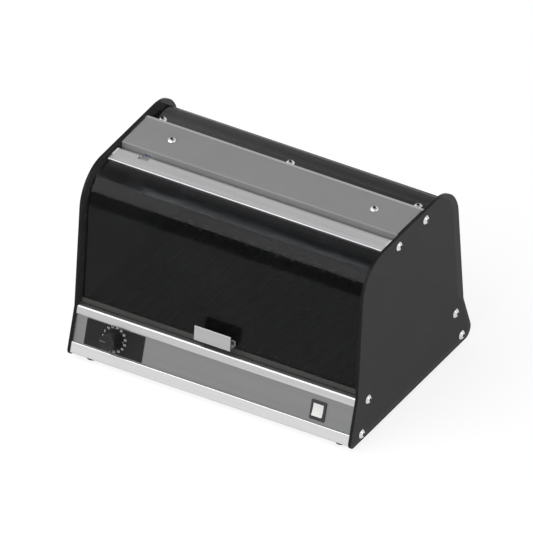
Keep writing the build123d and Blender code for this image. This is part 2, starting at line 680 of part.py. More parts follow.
# --- Back cover and rear base rail ----------------------------------------------------------
def back_cover():
    """Smoked sheet, bent from the level top down to the rear base rail."""
    bend = on_height(CORNER[4], BACK_UP, BACK_INSET, BACK_TOP)
    path = [(BACK_START, BACK_TOP), bend, back_skin(BACK_BOTTOM)]
    cover = both_sides(bent_sheet(path, [BACK_BEND_R], SHEET_T), HALF_FIT)
    for x in BACK_SCREW_X:
        cover -= rod((x, BACK_SCREW_DEPTH, BACK_TOP - 7), (0, 0, 1), BACK_HOLE_R, 9)
        cover -= rod((x, *back_skin(BACK_LOW_SCREW_Z, 8)), (0, BACK_UP[1], -BACK_UP[0]), BACK_HOLE_R, 12)
    return cover


def back_low_screw(x):
    """Dome screw through the back cover's lower edge into the rear base rail."""
    outward = (0, BACK_UP[1], -BACK_UP[0])
    at = (x, *back_skin(BACK_LOW_SCREW_Z))
    return dome_screw(at, outward, 9.0, **TOP_HEAD)


def rear_base_rail():
    """Extrusion across the back: upstand behind the back cover, leaning face with the power
    inlet, lip under it, and a ledge for the chamber floor."""
    path = [
        on_height(CORNER[4], BACK_UP, BACK_INSET + SHEET_T, UPSTAND_TOP),
        on_height(CORNER[4], BACK_UP, BACK_INSET + SHEET_T, BASE_RAIL_TOP),
        on_height(CORNER[5], REAR_UP, RAIL_INSET, BASE_RAIL_TOP),
        on_height(CORNER[5], REAR_UP, RAIL_INSET, LIP_BOTTOM),
        (304.0, LIP_BOTTOM),
    ]
    face = bent_sheet(path, [0.3, 2.5, 12.0], EXTRUSION_T)
    face += rectangle((287.0, 322.0), (SHELF_TOP - EXTRUSION_T, SHELF_TOP))
    face += rectangle((320.5, 322.5), (SHELF_TOP - EXTRUSION_T, BASE_RAIL_TOP - 0.5))
    face += screw_ports(BASE_RAIL_PORTS)
    for at in BASE_RAIL_PORTS:
        face -= disc(at, PORT_BORE_R)
    body = both_sides(face, HALF_IN)
    for x in BACK_SCREW_X:
        body -= rod((x, *back_skin(BACK_LOW_SCREW_Z, 9)), (0, BACK_UP[1], -BACK_UP[0]), RAIL_THREAD_R, 6)
    hole = (INLET_BODY[0] + 0.4, INLET_BODY[1] + 0.4, 12)
    body -= rear_plane(INLET_X, INLET_S, 8) * block(hole)
    for dx in INLET_SCREW_X:
        body -= rear_plane(INLET_X + dx, INLET_S, 8) * Cylinder(1.6, 12, align=CENTRE_UP)
    for x in (-FOOT_X, FOOT_X):
        body -= rod((x, FOOT_Y[1], LIP_BOTTOM - 1), (0, 0, 1), FOOT_HOLE_R, 4)
    return body


back_screws = [top_screw(x, BACK_SCREW_DEPTH, BACK_TOP, 8.0) for x in BACK_SCREW_X]
node("back_cover", back_cover())
node("back_cover_screws", *back_screws, *[back_low_screw(x) for x in BACK_SCREW_X])
node("rear_base_rail", rear_base_rail())


# --- Power inlet ----------------------------------------------------------------------------
def power_inlet():
    """Appliance inlet: flange on the rear face, body behind it, and a well for the connector."""
    case = block(INLET_FLANGE, round_r=3.0)
    case += block(INLET_BODY, align=CENTRE_DOWN, round_r=1.0)
    well = (INLET_WELL[0], INLET_WELL[1], INLET_WELL[2] + 5)
    case -= Pos(0, 0, 5) * block(well, align=CENTRE_DOWN, round_r=2.0)
    for dx in INLET_SCREW_X:
        case -= Pos(dx, 0, -1) * Cylinder(1.6, 6, align=CENTRE_UP)
    return rear_plane(INLET_X, INLET_S, RAIL_INSET) * case


def inlet_pins():
    """Three flat pins that stand in the well and come out of the back as solder tags."""
    pins = []
    for dx, dy in ((-7.0, -2.0), (7.0, -2.0), (0.0, 2.0)):
        pin = Pos(dx, dy, -INLET_WELL[2]) * Box(2.0, 4.0, 12.0, align=CENTRE_UP)
        pins.append(rear_plane(INLET_X, INLET_S, RAIL_INSET) * pin)
    return pins


def inlet_screw(dx):
    """Small pan-head screw beside the inlet."""
    plane = rear_plane(INLET_X + dx, INLET_S, RAIL_INSET - INLET_FLANGE[2])
    head = Cylinder(2.9, 1.6, align=CENTRE_UP)
    slot = Pos(0, 0, 1.1) * Box(4.6, 0.8, 2.0, align=CENTRE_UP)
    head = fillet(head.edges().sort_by(Axis.Z)[-1], 0.7) - slot
    return plane * (head + Cylinder(1.5, 8, align=CENTRE_DOWN))


node("power_inlet", power_inlet())
node("inlet_pins", *inlet_pins())
node("inlet_screws", *[inlet_screw(dx) for dx in INLET_SCREW_X])


# --- Lamp compartment -----------------------------------------------------------------------
def lamp_housing():
    """Steel channel under the cover, closed at both ends."""
    path = [
        (188.0, HOUSING_TOP),
        (HOUSING_BACK, HOUSING_TOP),
        (HOUSING_BACK, HOUSING_BOTTOM),
        (HOUSING_FRONT, HOUSING_BOTTOM),
        (HOUSING_FRONT, HOUSING_TOP),
    ]
    body = across(bent_sheet(path, [1.6, 1.6, 1.6], HOUSING_T), *HOUSING_X)
    depth = (HOUSING_FRONT + HOUSING_T / 2, HOUSING_BACK - HOUSING_T / 2)
    wall = rectangle(depth, (HOUSING_BOTTOM + HOUSING_T / 2, HOUSING_TOP - HOUSING_T))
    body += across(wall, HOUSING_X[0], HOUSING_X[0] + HOUSING_T)
    body += across(wall, HOUSING_X[1] - HOUSING_T, HOUSING_X[1])
    for x, z in HOUSING_SCREWS:
        body -= rod((x, HOUSING_FRONT - 1, z), (0, 1, 0), 1.7, 4)
    return body - rod((*COVER_SCREWS, HOUSING_TOP - 3), (0, 0, 1), 2.0, 6)


def housing_screw(x, z):
    """Pan-head screw in the housing's front wall."""
    return dome_screw((x, HOUSING_FRONT, z), (0, -1, 0), 5.0, head_r=4.0, head_h=2.2, shank_r=1.5)


def reflector():
    """Bent aluminium sheet over the tube."""
    path = [(150.0, 222.0), (168.0, HOUSING_BOTTOM), (200.0, HOUSING_BOTTOM), (218.0, 222.0)]
    return both_sides(bent_sheet(path, [3.0, 3.0], 0.8), REFLECTOR_HALF)


def lampholder(side):
    """Holder at one end of the tube, under the reflector, with two contact holes."""
    body = Box(13.0, 26.0, 40.0, align=(Align.MIN, Align.CENTER, Align.MIN))
    body = fillet(body.edges().filter_by(Axis.X), 4.0)
    body = Pos(TUBE_HALF + 0.3, TUBE_AT[0], HOUSING_BOTTOM - 0.8 - 40) * body
    for dz in (-PIN_PITCH / 2, PIN_PITCH / 2):
        body -= rod((TUBE_HALF, TUBE_AT[0], TUBE_AT[1] + dz), (1, 0, 0), PIN_R + 0.1, 9)
    return body if side > 0 else mirror(body, about=Plane.YZ)


def tube_cap(side):
    """Metal cap of the tube with its two contact pins."""
    start, end = TUBE_HALF - TUBE_CAP, TUBE_HALF
    cap = across(disc(TUBE_AT, TUBE_R), start, end)
    cap = fillet(cap.edges().sort_by(Axis.X)[-1], 1.5)
    for dz in (-PIN_PITCH / 2, PIN_PITCH / 2):
        cap += across(disc((TUBE_AT[0], TUBE_AT[1] + dz), PIN_R), end - 1, end + 7.0)
    return cap if side > 0 else mirror(cap, about=Plane.YZ)


node("lamp_housing", lamp_housing())
node("lamp_housing_screws", *[housing_screw(*at) for at in HOUSING_SCREWS])
node("reflector", reflector())
glass_r = TUBE_R - 0.4
glass = disc(TUBE_AT, glass_r) - disc(TUBE_AT, glass_r - TUBE_WALL)
node("uv_tube", both_sides(glass, TUBE_HALF - TUBE_CAP))
node("uv_tube_caps", tube_cap(-1), tube_cap(1))
node("lampholder_left", lampholder(-1))
node("lampholder_right", lampholder(1))


def ballast():
    """Choke on the housing's floor: laminated core with rounded winding and two feet."""
    core = fillet(Box(110.0, 40.0, 28.0, align=CENTRE_UP).edges().filter_by(Axis.X), 3.0)
    feet = Box(150.0, 34.0, 2.0, align=CENTRE_UP)
    return Pos(BALLAST_X, HOUSING_MID, HOUSING_FLOOR) * (core + feet)


def starter():
    """Glow starter that lies in the housing, with its two stud contacts."""
    can = across(disc(STARTER_AT, STARTER_R), -110.0, -76.0)
    can = fillet(can.edges().sort_by(Axis.X)[0], 2.0)
    for dz in STUD_DZ:
        can += across(disc((STARTER_AT[0], STARTER_AT[1] + dz), STUD_R), -77.0, -71.0)
    return can


def starter_socket():
    """Socket for the starter's studs, on the housing's floor."""
    front, back = HOUSING_MID - 13.0, HOUSING_MID + 13.0
    low, high = HOUSING_FLOOR, HOUSING_FLOOR + 26.0
    face = outline([(front, low), (front, high), (back, high), (back, low)], [0, 4, 4, 0])
    socket = across(face, -75.8, -64.0)
    for dz in STUD_DZ:
        socket -= across(disc((STARTER_AT[0], STARTER_AT[1] + dz), STUD_R + 0.1), -76.5, -70.5)
    return socket


def terminal_block():
    """Three-way terminal block on the housing's floor, with a wire hole through each way."""
    body = Box(34.0, 18.0, 13.0, align=CENTRE_UP)
    for dx in (-11.0, 0.0, 11.0):
        body -= rod((dx, -14.0, 6.0), (0, 1, 0), 1.8, 30)
        body -= rod((dx, 0, 8.0), (0, 0, 1), 1.9, 8)
    return Pos(TERMINALS_X, HOUSING_MID, HOUSING_FLOOR) * body


node("ballast", ballast())
node("starter", starter())
node("starter_socket", starter_socket())
node("terminal_block", terminal_block())


# --- Chamber floor, base plate and feet -----------------------------------------------------
def floor_plate():
    """Loose slotted plate that carries the cutlery, on the two ledges."""
    plate = both_sides(rectangle(FLOOR_PLATE_Y, (SHELF_TOP, SHELF_TOP + FLOOR_PLATE_T)), HALF_FIT)
    slots = Sketch() + [
        loc * SlotOverall(*FLOOR_SLOT, rotation=90) for loc in GridLocations(26.0, 66.0, 17, 4)
    ]
    return plate - extrude(Pos(0, sum(FLOOR_PLATE_Y) / 2, SHELF_TOP - 1) * slots, amount=4)


def base_plate():
    """Sheet that closes the electrical compartment from below, with vent slots."""
    level = (LIP_BOTTOM - BASE_PLATE_T, LIP_BOTTOM)
    plate = both_sides(rectangle(BASE_PLATE_Y, level), HALF_FIT)
    for x in (-FOOT_X, FOOT_X):
        for y in FOOT_Y:
            plate -= rod((x, y, level[0] - 1), (0, 0, 1), FOOT_HOLE_R, 4)
    slots = Sketch() + [loc * SlotOverall(40.0, 4.0, rotation=90) for loc in GridLocations(14.0, 1, 9, 1)]
    return plate - extrude(Pos(-120.0, 180.0, level[0] - 1) * slots, amount=4)


def foot(x, y):
    """Tapered rubber foot with a recess for its screw."""
    top = LIP_BOTTOM - BASE_PLATE_T
    height = top + FOOT_H
    body = Pos(x, y, -FOOT_H) * Cone(FOOT_R - 1.2, FOOT_R, height, align=CENTRE_UP)
    body = fillet(body.edges().sort_by(Axis.Z)[0], 1.0)
    body -= rod((x, y, -FOOT_H - 1), (0, 0, 1), FOOT_RECESS_R, FOOT_RECESS + 1)
    return body - rod((x, y, -FOOT_H - 1), (0, 0, 1), 2.1, height + 2)


def foot_screw(x, y):
    """Pan-head screw up through a foot into the extrusion's lip."""
    head = rod((x, y, -FOOT_H + 2.6), (0, 0, 1), 4.2, 2.4)
    return head + rod((x, y, -FOOT_H + 4.9), (0, 0, 1), 1.9, FOOT_H + LIP_BOTTOM + EXTRUSION_T - 4.0)


FOOT_PLACES = [(x, y) for x in (-FOOT_X, FOOT_X) for y in FOOT_Y]
node("floor_plate", floor_plate())
node("base_plate", base_plate())
node("feet", *[foot(*at) for at in FOOT_PLACES])
node("foot_screws", *[foot_screw(*at) for at in FOOT_PLACES])


# --- Own frame and files --------------------------------------------------------------------
# The origin is under the middle of the whole cabinet, on the surface it stands on.
extent = Compound([solid for shape in nodes.values() for solid in shape.solids()]).bounding_box()
TO_ORIGIN = Pos(0, -(extent.min.Y + extent.max.Y) / 2, FOOT_H)

os.makedirs("parts", exist_ok=True)
for name, shape in nodes.items():
    export_step(TO_ORIGIN * shape, f"parts/{name}.step")
print(len(nodes), "sub-parts, depth of the origin", round((extent.min.Y + extent.max.Y) / 2, 3))
print("size", extent.size, "from", extent.min, "to", extent.max)
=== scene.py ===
import math

import bmesh
import bpy
import numpy as np
from mathutils import Matrix, Vector

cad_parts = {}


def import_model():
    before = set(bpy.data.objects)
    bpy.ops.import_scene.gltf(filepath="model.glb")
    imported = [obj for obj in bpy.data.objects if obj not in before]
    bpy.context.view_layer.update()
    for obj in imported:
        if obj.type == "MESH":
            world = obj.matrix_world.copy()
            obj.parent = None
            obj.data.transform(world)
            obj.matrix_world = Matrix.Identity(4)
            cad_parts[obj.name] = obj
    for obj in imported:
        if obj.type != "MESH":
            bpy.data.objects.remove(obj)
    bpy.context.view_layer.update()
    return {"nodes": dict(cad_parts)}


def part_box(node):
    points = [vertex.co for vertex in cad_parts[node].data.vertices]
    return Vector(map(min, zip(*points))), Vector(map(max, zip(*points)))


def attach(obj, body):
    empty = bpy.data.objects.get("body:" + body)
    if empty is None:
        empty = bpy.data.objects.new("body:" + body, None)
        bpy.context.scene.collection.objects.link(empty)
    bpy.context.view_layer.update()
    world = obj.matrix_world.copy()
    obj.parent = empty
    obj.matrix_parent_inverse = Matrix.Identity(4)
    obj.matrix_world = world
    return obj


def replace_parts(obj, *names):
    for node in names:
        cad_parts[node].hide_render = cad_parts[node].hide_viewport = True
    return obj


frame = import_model()

# Table-top ultraviolet steriliser cabinet. Profiles are worked out in millimetres in the side
# view, as (depth, height) from the virtual front bottom corner of the side panels, and
# `world` brings them to the frame's metres.

MM = 0.001
ORIGIN_DEPTH = 173.8697      # depth of the frame's origin
ORIGIN_HEIGHT = -8.0         # the floor, under the feet

FRONT_FOOT = np.array([0.0, 0.0])          # start of the leaning front edge, and its direction
FRONT_UP = np.array([24.0, 78.0]) / math.hypot(24.0, 78.0)
DOOR_FOOT = np.array([24.0, 78.0])
DOOR_UP = np.array([19.8, 226.0]) / math.hypot(19.8, 226.0)
BACK_FOOT = np.array([335.0, 78.0])
BACK_UP = np.array([-19.0, 226.0]) / math.hypot(19.0, 226.0)

PANEL_OUT = 245.0            # outer skin of the side panels
SHEET_T = 5.0                # every acrylic sheet
DOOR_INSET = 9.0             # outer skins of the bent sheets, behind the panels' edges
BACK_INSET = 7.5
DOOR_HALF = 236.4            # half their lengths along X
BACK_HALF = 238.0
DOOR_BOTTOM, DOOR_TOP = 86.0, 295.0        # heights of their ends
BACK_BOTTOM, BACK_TOP = 84.0, 292.5
DOOR_BACK, BACK_FRONT = 136.5, 231.0       # depths at which their level parts end
DOOR_BEND_R, BACK_BEND_R = 53.0, 52.0      # outside their bends
NOTCH = (-198.5, -181.5)     # sides of the notch in the door's back edge, along X
NOTCH_FRONT = 130.0          # its depth


# --- Side-view points -----------------------------------------------------------------------
def world(x, side):
    """Points in metres from x and side-view (depth, height), both in millimetres."""
    x = np.broadcast_to(x, side.shape[:-1])
    return np.stack([x, side[..., 0] - ORIGIN_DEPTH, side[..., 1] - ORIGIN_HEIGHT], -1) * MM


def behind(foot, up, distance_up, inset):
    """Side-view point: foot, plus the distance up the leaning line, plus the inset square to
    it towards the inside of the cabinet."""
    side = 1.0 if up[0] > 0 else -1.0
    return foot + up * distance_up + side * inset * np.array([up[1], -up[0]])


def at_height(foot, up, inset, height):
    """Side-view point at a height on the line that lies inset behind a leaning line."""
    start = behind(foot, up, 0.0, inset)
    return np.array([start[0] + (height - start[1]) * up[0] / up[1], height])


def on_front(s, t):
    """Side-view point s up the fascia's leaning face and t behind it."""
    return behind(FRONT_FOOT, FRONT_UP, s, t)


def on_door(height, depth_in=0.0):
    """Side-view point on the door's outer skin, or square behind it."""
    base = at_height(DOOR_FOOT, DOOR_UP, DOOR_INSET, height)
    return base + depth_in * np.array([DOOR_UP[1], -DOOR_UP[0]])


def on_back(height, depth_in=0.0):
    """Side-view point on the back cover's outer skin, or square inside it."""
    base = at_height(BACK_FOOT, BACK_UP, BACK_INSET, height)
    return base - depth_in * np.array([BACK_UP[1], -BACK_UP[0]])


def rounded_outline(corners, radii, steps):
    """Closed outline from corner points, each rounded by an arc. With unit vectors a and c from
    the corner towards its neighbours and the half angle h between them, the arc starts
    r / tan(h) along a, ends as far along c, and turns round the point r / sin(h) along a + c.
    Its points are the weighted sum of the two end radii by sin((1 - k) w) and sin(k w)."""
    corners = np.asarray(corners, float)
    radii = np.asarray(radii, float)[:, None]
    a = np.roll(corners, 1, 0) - corners
    c = np.roll(corners, -1, 0) - corners
    a /= np.linalg.norm(a, axis=1, keepdims=True)
    c /= np.linalg.norm(c, axis=1, keepdims=True)
    half = np.arccos((a * c).sum(1, keepdims=True)) / 2
    reach = radii / np.tan(half)
    middle = a + c
    middle /= np.linalg.norm(middle, axis=1, keepdims=True)
    centre = corners + middle * radii / np.sin(half)
    first, last = corners + a * reach - centre, corners + c * reach - centre
    turn = (math.pi - 2 * half)[:, :, None]
    k = np.linspace(0, 1, steps)[None, :, None]
    arc = np.sin((1 - k) * turn) * first[:, None] + np.sin(k * turn) * last[:, None]
    return (centre[:, None] + arc / np.sin(turn)).reshape(-1, 2)


def outward(outline):
    """Unit vectors square to a closed outline, pointing out of it: the chord between each
    point's neighbours, turned by a right angle away from the enclosed area."""
    chord = np.roll(outline, -1, 0) - np.roll(outline, 1, 0)
    x, y = outline[:, 0], outline[:, 1]
    area = (x * np.roll(y, -1) - np.roll(x, -1) * y).sum()
    normal = np.stack([chord[:, 1], -chord[:, 0]], 1) * np.sign(area)
    return normal / np.linalg.norm(normal, axis=1, keepdims=True)


# --- Meshes from grids ----------------------------------------------------------------------
def tube_faces(rows, columns, start):
    """Quads between neighbouring rows of a grid whose columns close into rings, and one flat
    face over each open end."""
    index = np.arange(rows * columns).reshape(rows, columns) + start
    here, there = index[:-1], index[1:]
    quads = np.stack([here, np.roll(here, -1, 1), np.roll(there, -1, 1), there], -1).reshape(-1, 4)
    return quads.tolist() + [index[0].tolist()[::-1], index[-1].tolist()]


def shares(rows, columns):
    """Each grid point's share of the rows and of the columns, from 0 to 1."""
    both = np.meshgrid(np.linspace(0, 1, rows), np.linspace(0, 1, columns), indexing="ij")
    return np.stack(both, -1).reshape(-1, 2)


def piece(name, grids, body, material, sharp=35.0):
    """One object from (rows, columns, 3) grids in metres. Its UV map holds each point's share of
    the rows and of the columns. It rides on a body, takes the finish it is given, and is shaded
    smooth apart from edges that turn by more than `sharp`."""
    points, faces = [], []
    for grid in grids:
        faces += tube_faces(grid.shape[0], grid.shape[1], sum(len(p) for p in points))
        points.append(grid.reshape(-1, 3))
    mesh = bpy.data.meshes.new(name)
    mesh.from_pydata(np.concatenate(points).tolist(), [], faces)
    corner = np.empty(len(mesh.loops), np.int32)
    mesh.loops.foreach_get("vertex_index", corner)
    share = np.concatenate([shares(*grid.shape[:2]) for grid in grids])
    mesh.uv_layers.new(name="surface").data.foreach_set("uv", share[corner].ravel())
    shell = bmesh.new()
    shell.from_mesh(mesh)
    bmesh.ops.remove_doubles(shell, verts=shell.verts, dist=2e-6)
    bmesh.ops.recalc_face_normals(shell, faces=shell.faces)
    shell.to_mesh(mesh)
    shell.free()
    mesh.shade_smooth()
    mesh.set_sharp_from_angle(angle=math.radians(sharp))
    return place(name, mesh, body, material)


def place(name, mesh, body, material):
    """Put a finished mesh into the scene as a piece of the object."""
    obj = bpy.data.objects.new(name, mesh)
    bpy.context.scene.collection.objects.link(obj)
    mesh.materials.append(material)
    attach(obj, body)
    return obj


def swept_bar(outline, x_low, x_high, ease, stations=()):
    """Bar along X: each row is the closed side-view outline at one x. Over the last `ease`
    millimetres the row moves inwards by ease * (1 - sin f) while x nears the end by
    ease * (1 - cos f), f running over a right angle, which rounds the end's edges."""
    f = np.linspace(0, math.pi / 2, 5)
    along, inwards = ease * (1 - np.cos(f)), ease * (1 - np.sin(f))
    between = np.append(stations, (x_low + x_high) / 2)
    x = np.concatenate([x_low + along, between, x_high - along])
    inset = np.concatenate([inwards, 0 * between, inwards])
    order = np.argsort(x)
    side = outline[None] - outward(outline)[None] * inset[order][:, None, None]
    return world(x[order][:, None], side)


def turned(rows, segments, base, axis, up):
    """Surface of revolution from a (rows, segments, 2) array of radius and height along the
    axis: base + axis * height + radius * (cos a * u + sin a * v), where u and v are square to
    the axis. Base is in metres, rows are in millimetres."""
    axis, up = np.asarray(axis, float), np.asarray(up, float)
    v = np.cross(axis, up)
    a = np.linspace(0, 2 * math.pi, segments, endpoint=False)[None, :, None]
    radius, height = rows[..., 0:1] * MM, rows[..., 1:2] * MM
    return base + axis * height + radius * (np.cos(a) * up + np.sin(a) * v)


def lathe(profile, segments, base, axis, up):
    """Plain surface of revolution from (radius, height) pairs."""
    rows = np.repeat(np.asarray(profile, float)[:, None, :], segments, 1)
    return turned(rows, segments, base, axis, up)


SOCKET_START = 24 / 27       # share of a dome screw's 28 rows at which its socket begins


def dome_screw(base, axis, up, shank, head_r=7.5, head_h=4.4, shank_r=2.4):
    """Dome-head screw as one turned surface: shank, flat under the head, dome, hexagon socket.
    The dome's height over radius r is h - R + sqrt(R^2 - r^2), R being the radius of the
    sphere through rim and crown. Socket rows have the hexagon's radius, r * cos(30) / cos(b),
    with b the angle to the middle of the nearest flat, blended in over the socket's rim."""
    segments, edge = 48, 0.985
    ball = (head_r**2 + head_h**2) / (2 * head_h)
    socket_r, floor_z = 0.38 * head_r, 0.45 * head_h
    skirt = [(0.0, -shank), (0.7 * shank_r, -shank), (shank_r, -shank + 0.6), (shank_r, 0.0)]
    skirt += [(0.93 * head_r, 0.0), (edge * head_r, 0.05)]
    dome_r = np.linspace(edge, 0.45, 16) * head_r
    rim = [socket_r * 1.12, socket_r * 1.05, socket_r]
    radii = np.array([r for r, z in skirt] + list(dome_r) + rim + [socket_r, socket_r * 0.5, 0.0])
    hexed = np.array([0.0] * (len(skirt) + len(dome_r)) + [0.4, 0.8, 1.0, 1.0, 1.0, 1.0])
    a = np.linspace(0, 2 * math.pi, segments, endpoint=False)
    hexagon = math.cos(math.pi / 6) / np.cos(a % (math.pi / 3) - math.pi / 6)
    r = radii[:, None] * (1 + hexed[:, None] * (hexagon[None] - 1))
    z = head_h - ball + np.sqrt(ball**2 - np.minimum(r, head_r) ** 2)
    z[: len(skirt)] = np.array([z for r, z in skirt])[:, None]
    z[-4] -= 0.12
    z[-3:] = np.array([floor_z, floor_z - 0.1, floor_z - 0.2])[:, None]
    return turned(np.stack([r, z], -1), segments, np.asarray(base, float), axis, up)


# --- Shader nodes ---------------------------------------------------------------------------
def put(tree, kind, sockets=None, **settings):
    """Add a node. Sockets are values to set or outputs to link; settings are its options."""
    made = tree.nodes.new("ShaderNode" + kind)
    for key, value in settings.items():
        setattr(made, key, value)
    for key, value in (sockets or {}).items():
        if isinstance(value, bpy.types.NodeSocket):
            tree.links.new(value, made.inputs[key])
        else:
            made.inputs[key].default_value = value
    return made


def own_place(tree):
    """Object coordinates, which on this object are the frame's metres."""
    return put(tree, "TexCoord").outputs["Object"]


def ramp(tree, value, start, end, low=0.0, high=1.0, **settings):
    """Goes from low to high while a value goes from start to end, and stays there beyond."""
    return put(tree, "MapRange", {0: value, 1: start, 2: end, 3: low, 4: high}, **settings).outputs[0]


def spread_to(tree, mask, low, high):
    """A mask from 0 to 1 carried to the range from low to high."""
    return ramp(tree, mask, 0.0, 1.0, low, high)


def noise(tree, where, scale, detail, **sockets):
    """Cloudy level from 0 to 1."""
    sockets = {"Vector": where, "Scale": scale, "Detail": detail, **sockets}
    return put(tree, "TexNoise", sockets).outputs["Fac"]


def joined(tree, operation, a, b):
    """Two numbers or outputs put together by one operation."""
    return put(tree, "Math", {0: a, 1: b}, operation=operation).outputs[0]


def times(tree, a, b):
    """Product of two numbers or outputs."""
    return joined(tree, "MULTIPLY", a, b)


def blend_number(tree, factor, a, b):
    """Mix two numbers or outputs."""
    return put(tree, "Mix", {0: factor, 2: a, 3: b}).outputs[0]


def blend_colour(tree, factor, a, b):
    """Mix two colours; either may be a colour or an output."""
    a, b = ((*c, 1.0) if isinstance(c, tuple) else c for c in (a, b))
    return put(tree, "Mix", {0: factor, 6: a, 7: b}, data_type="RGBA").outputs[2]


# --- Effects shared by several finishes -----------------------------------------------------
def effect_group(name, inputs, outputs):
    """Empty shader group with named number inputs and number outputs."""
    group = bpy.data.node_groups.new(name, "ShaderNodeTree")
    number = "NodeSocketFloat"
    for label, value in inputs.items():
        group.interface.new_socket(label, in_out="INPUT", socket_type=number).default_value = value
    for label in outputs:
        group.interface.new_socket(label, in_out="OUTPUT", socket_type=number)
    given = group.nodes.new("NodeGroupInput").outputs
    result = group.nodes.new("NodeGroupOutput").inputs
    return group, given, result


def drawn_grain():
    """Fine lines that run along X, as rolling and extruding leave on metal."""
    group, given, result = effect_group(
        "drawn_grain", {"Along": 6.0, "Across": 900.0}, ["Grain", "Height"]
    )
    scale = put(group, "CombineXYZ", {"X": given["Along"], "Y": given["Across"], "Z": given["Across"]})
    stretched = put(
        group, "VectorMath", {0: own_place(group), 1: scale.outputs[0]}, operation="MULTIPLY"
    ).outputs[0]
    lines = noise(group, stretched, 1.0, 5.0, Roughness=0.7)
    bands = noise(group, stretched, 0.09, 2.0)
    mixed = blend_number(group, 0.35, lines, bands)
    group.links.new(ramp(group, mixed, 0.36, 0.64), result["Grain"])
    group.links.new(lines, result["Height"])
    return group


def moulded_skin():
    """Fine even texture of moulded plastic, paint or rubber, with a slow change of tone."""
    group, given, result = effect_group("moulded_skin", {"Grain scale": 2500.0}, ["Tone", "Height"])
    where = own_place(group)
    fine = noise(group, where, given["Grain scale"], 3.0)
    slow = noise(group, where, 22.0, 3.0)
    mixed = blend_number(group, 0.6, fine, slow)
    group.links.new(ramp(group, mixed, 0.35, 0.65), result["Tone"])
    group.links.new(fine, result["Height"])
    return group


def worn_edges():
    """Mask that is 1 on outer edges: how far a bevelled normal turns from the true one,
    broken up by a noise."""
    group, given, result = effect_group("worn_edges", {"Width": 0.0006}, ["Edge"])
    rounded = put(group, "Bevel", {"Radius": given["Width"]}, samples=4).outputs[0]
    flat = put(group, "NewGeometry").outputs["Normal"]
    alike = put(group, "VectorMath", {0: rounded, 1: flat}, operation="DOT_PRODUCT").outputs["Value"]
    turned_by = ramp(group, alike, 0.995, 0.86)
    broken = ramp(group, noise(group, own_place(group), 140.0, 4.0), 0.35, 0.6, 0.25, 1.0)
    group.links.new(times(group, turned_by, broken), result["Edge"])
    return group


def handled_film():
    """Smudges from hands, and dust that lies on upward faces."""
    group, given, result = effect_group("handled_film", {"Patch scale": 14.0}, ["Smudge", "Dust"])
    where = own_place(group)
    patches = noise(group, where, given["Patch scale"], 5.0, Distortion=0.6)
    specks = ramp(group, noise(group, where, 900.0, 2.0), 0.60, 0.74)
    up = put(group, "SeparateXYZ", {0: put(group, "NewGeometry").outputs["Normal"]}).outputs["Z"]
    group.links.new(ramp(group, patches, 0.45, 0.72), result["Smudge"])
    group.links.new(times(group, specks, ramp(group, up, 0.3, 0.9)), result["Dust"])
    return group


EFFECTS = {
    "drawn": drawn_grain(), "moulded": moulded_skin(), "edges": worn_edges(), "film": handled_film(),
}


def effect(tree, name, values=None):
    """Outputs of a shared effect in a material."""
    return put(tree, "Group", values, node_tree=EFFECTS[name]).outputs


# --- Kinds of finish ------------------------------------------------------------------------
def new_material(name, **shader_values):
    """Material with one Principled shader, and that shader's even values."""
    material = bpy.data.materials.new(name)
    material.use_nodes = True
    tree = material.node_tree
    tree.nodes.clear()
    shader = put(tree, "BsdfPrincipled")
    for key, value in shader_values.items():
        shader.inputs[key.replace("_", " ")].default_value = value
    tree.links.new(shader.outputs[0], put(tree, "OutputMaterial").inputs[0])
    return material, tree, shader


def bump_into(tree, shader, height, strength, distance=0.0002):
    """Bump from a height into the shader."""
    bump = put(tree, "Bump", {"Height": height, "Strength": strength, "Distance": distance})
    tree.links.new(bump.outputs[0], shader.inputs["Normal"])


def aged(tree, film, colour, edge, wear, dust, dust_colour):
    """A colour with paler rubbed edges, and with dust from the film. On the cover the paler edges are
    wear and also a painted highlight.
    """
    worn = times(tree, effect(tree, "edges")["Edge"], wear)
    colour = blend_colour(tree, worn, colour, edge)
    return blend_colour(tree, times(tree, film["Dust"], dust), colour, dust_colour)


def metal(name, base, tone, edge, rough, along=6.0, across=900.0, bump=0.12, wear=0.6):
    """Drawn or rolled metal: tone lines along the grain, lighter rubbed edges, roughness that
    follows grain and smudges."""
    material, tree, shader = new_material(name, Metallic=1.0)
    grain = effect(tree, "drawn", {"Along": along, "Across": across})
    film = effect(tree, "film")
    colour = blend_colour(tree, grain["Grain"], base, tone)
    colour = aged(tree, film, colour, edge, wear, 0.12, (0.5, 0.48, 0.45))
    tree.links.new(colour, shader.inputs["Base Color"])
    lines = spread_to(tree, grain["Grain"], rough - 0.05, rough + 0.05)
    gloss = joined(tree, "ADD", lines, times(tree, film["Smudge"], 0.08))
    tree.links.new(gloss, shader.inputs["Roughness"])
    bump_into(tree, shader, grain["Height"], bump)
    return material


def moulded(name, base, tone, edge, rough, grain=2500.0, bump=0.12, wear=0.35, dust=0.15,
            **shader_values):
    """Moulded or painted finish: fine texture, slow tone changes, paler rubbed edges, dust."""
    material, tree, shader = new_material(name, **shader_values)
    skin = effect(tree, "moulded", {"Grain scale": grain})
    film = effect(tree, "film")
    colour = blend_colour(tree, skin["Tone"], base, tone)
    colour = aged(tree, film, colour, edge, wear, dust, (0.45, 0.43, 0.40))
    tree.links.new(colour, shader.inputs["Base Color"])
    tree.links.new(spread_to(tree, film["Smudge"], rough, rough + 0.12), shader.inputs["Roughness"])
    bump_into(tree, shader, skin["Height"], bump)
    return material


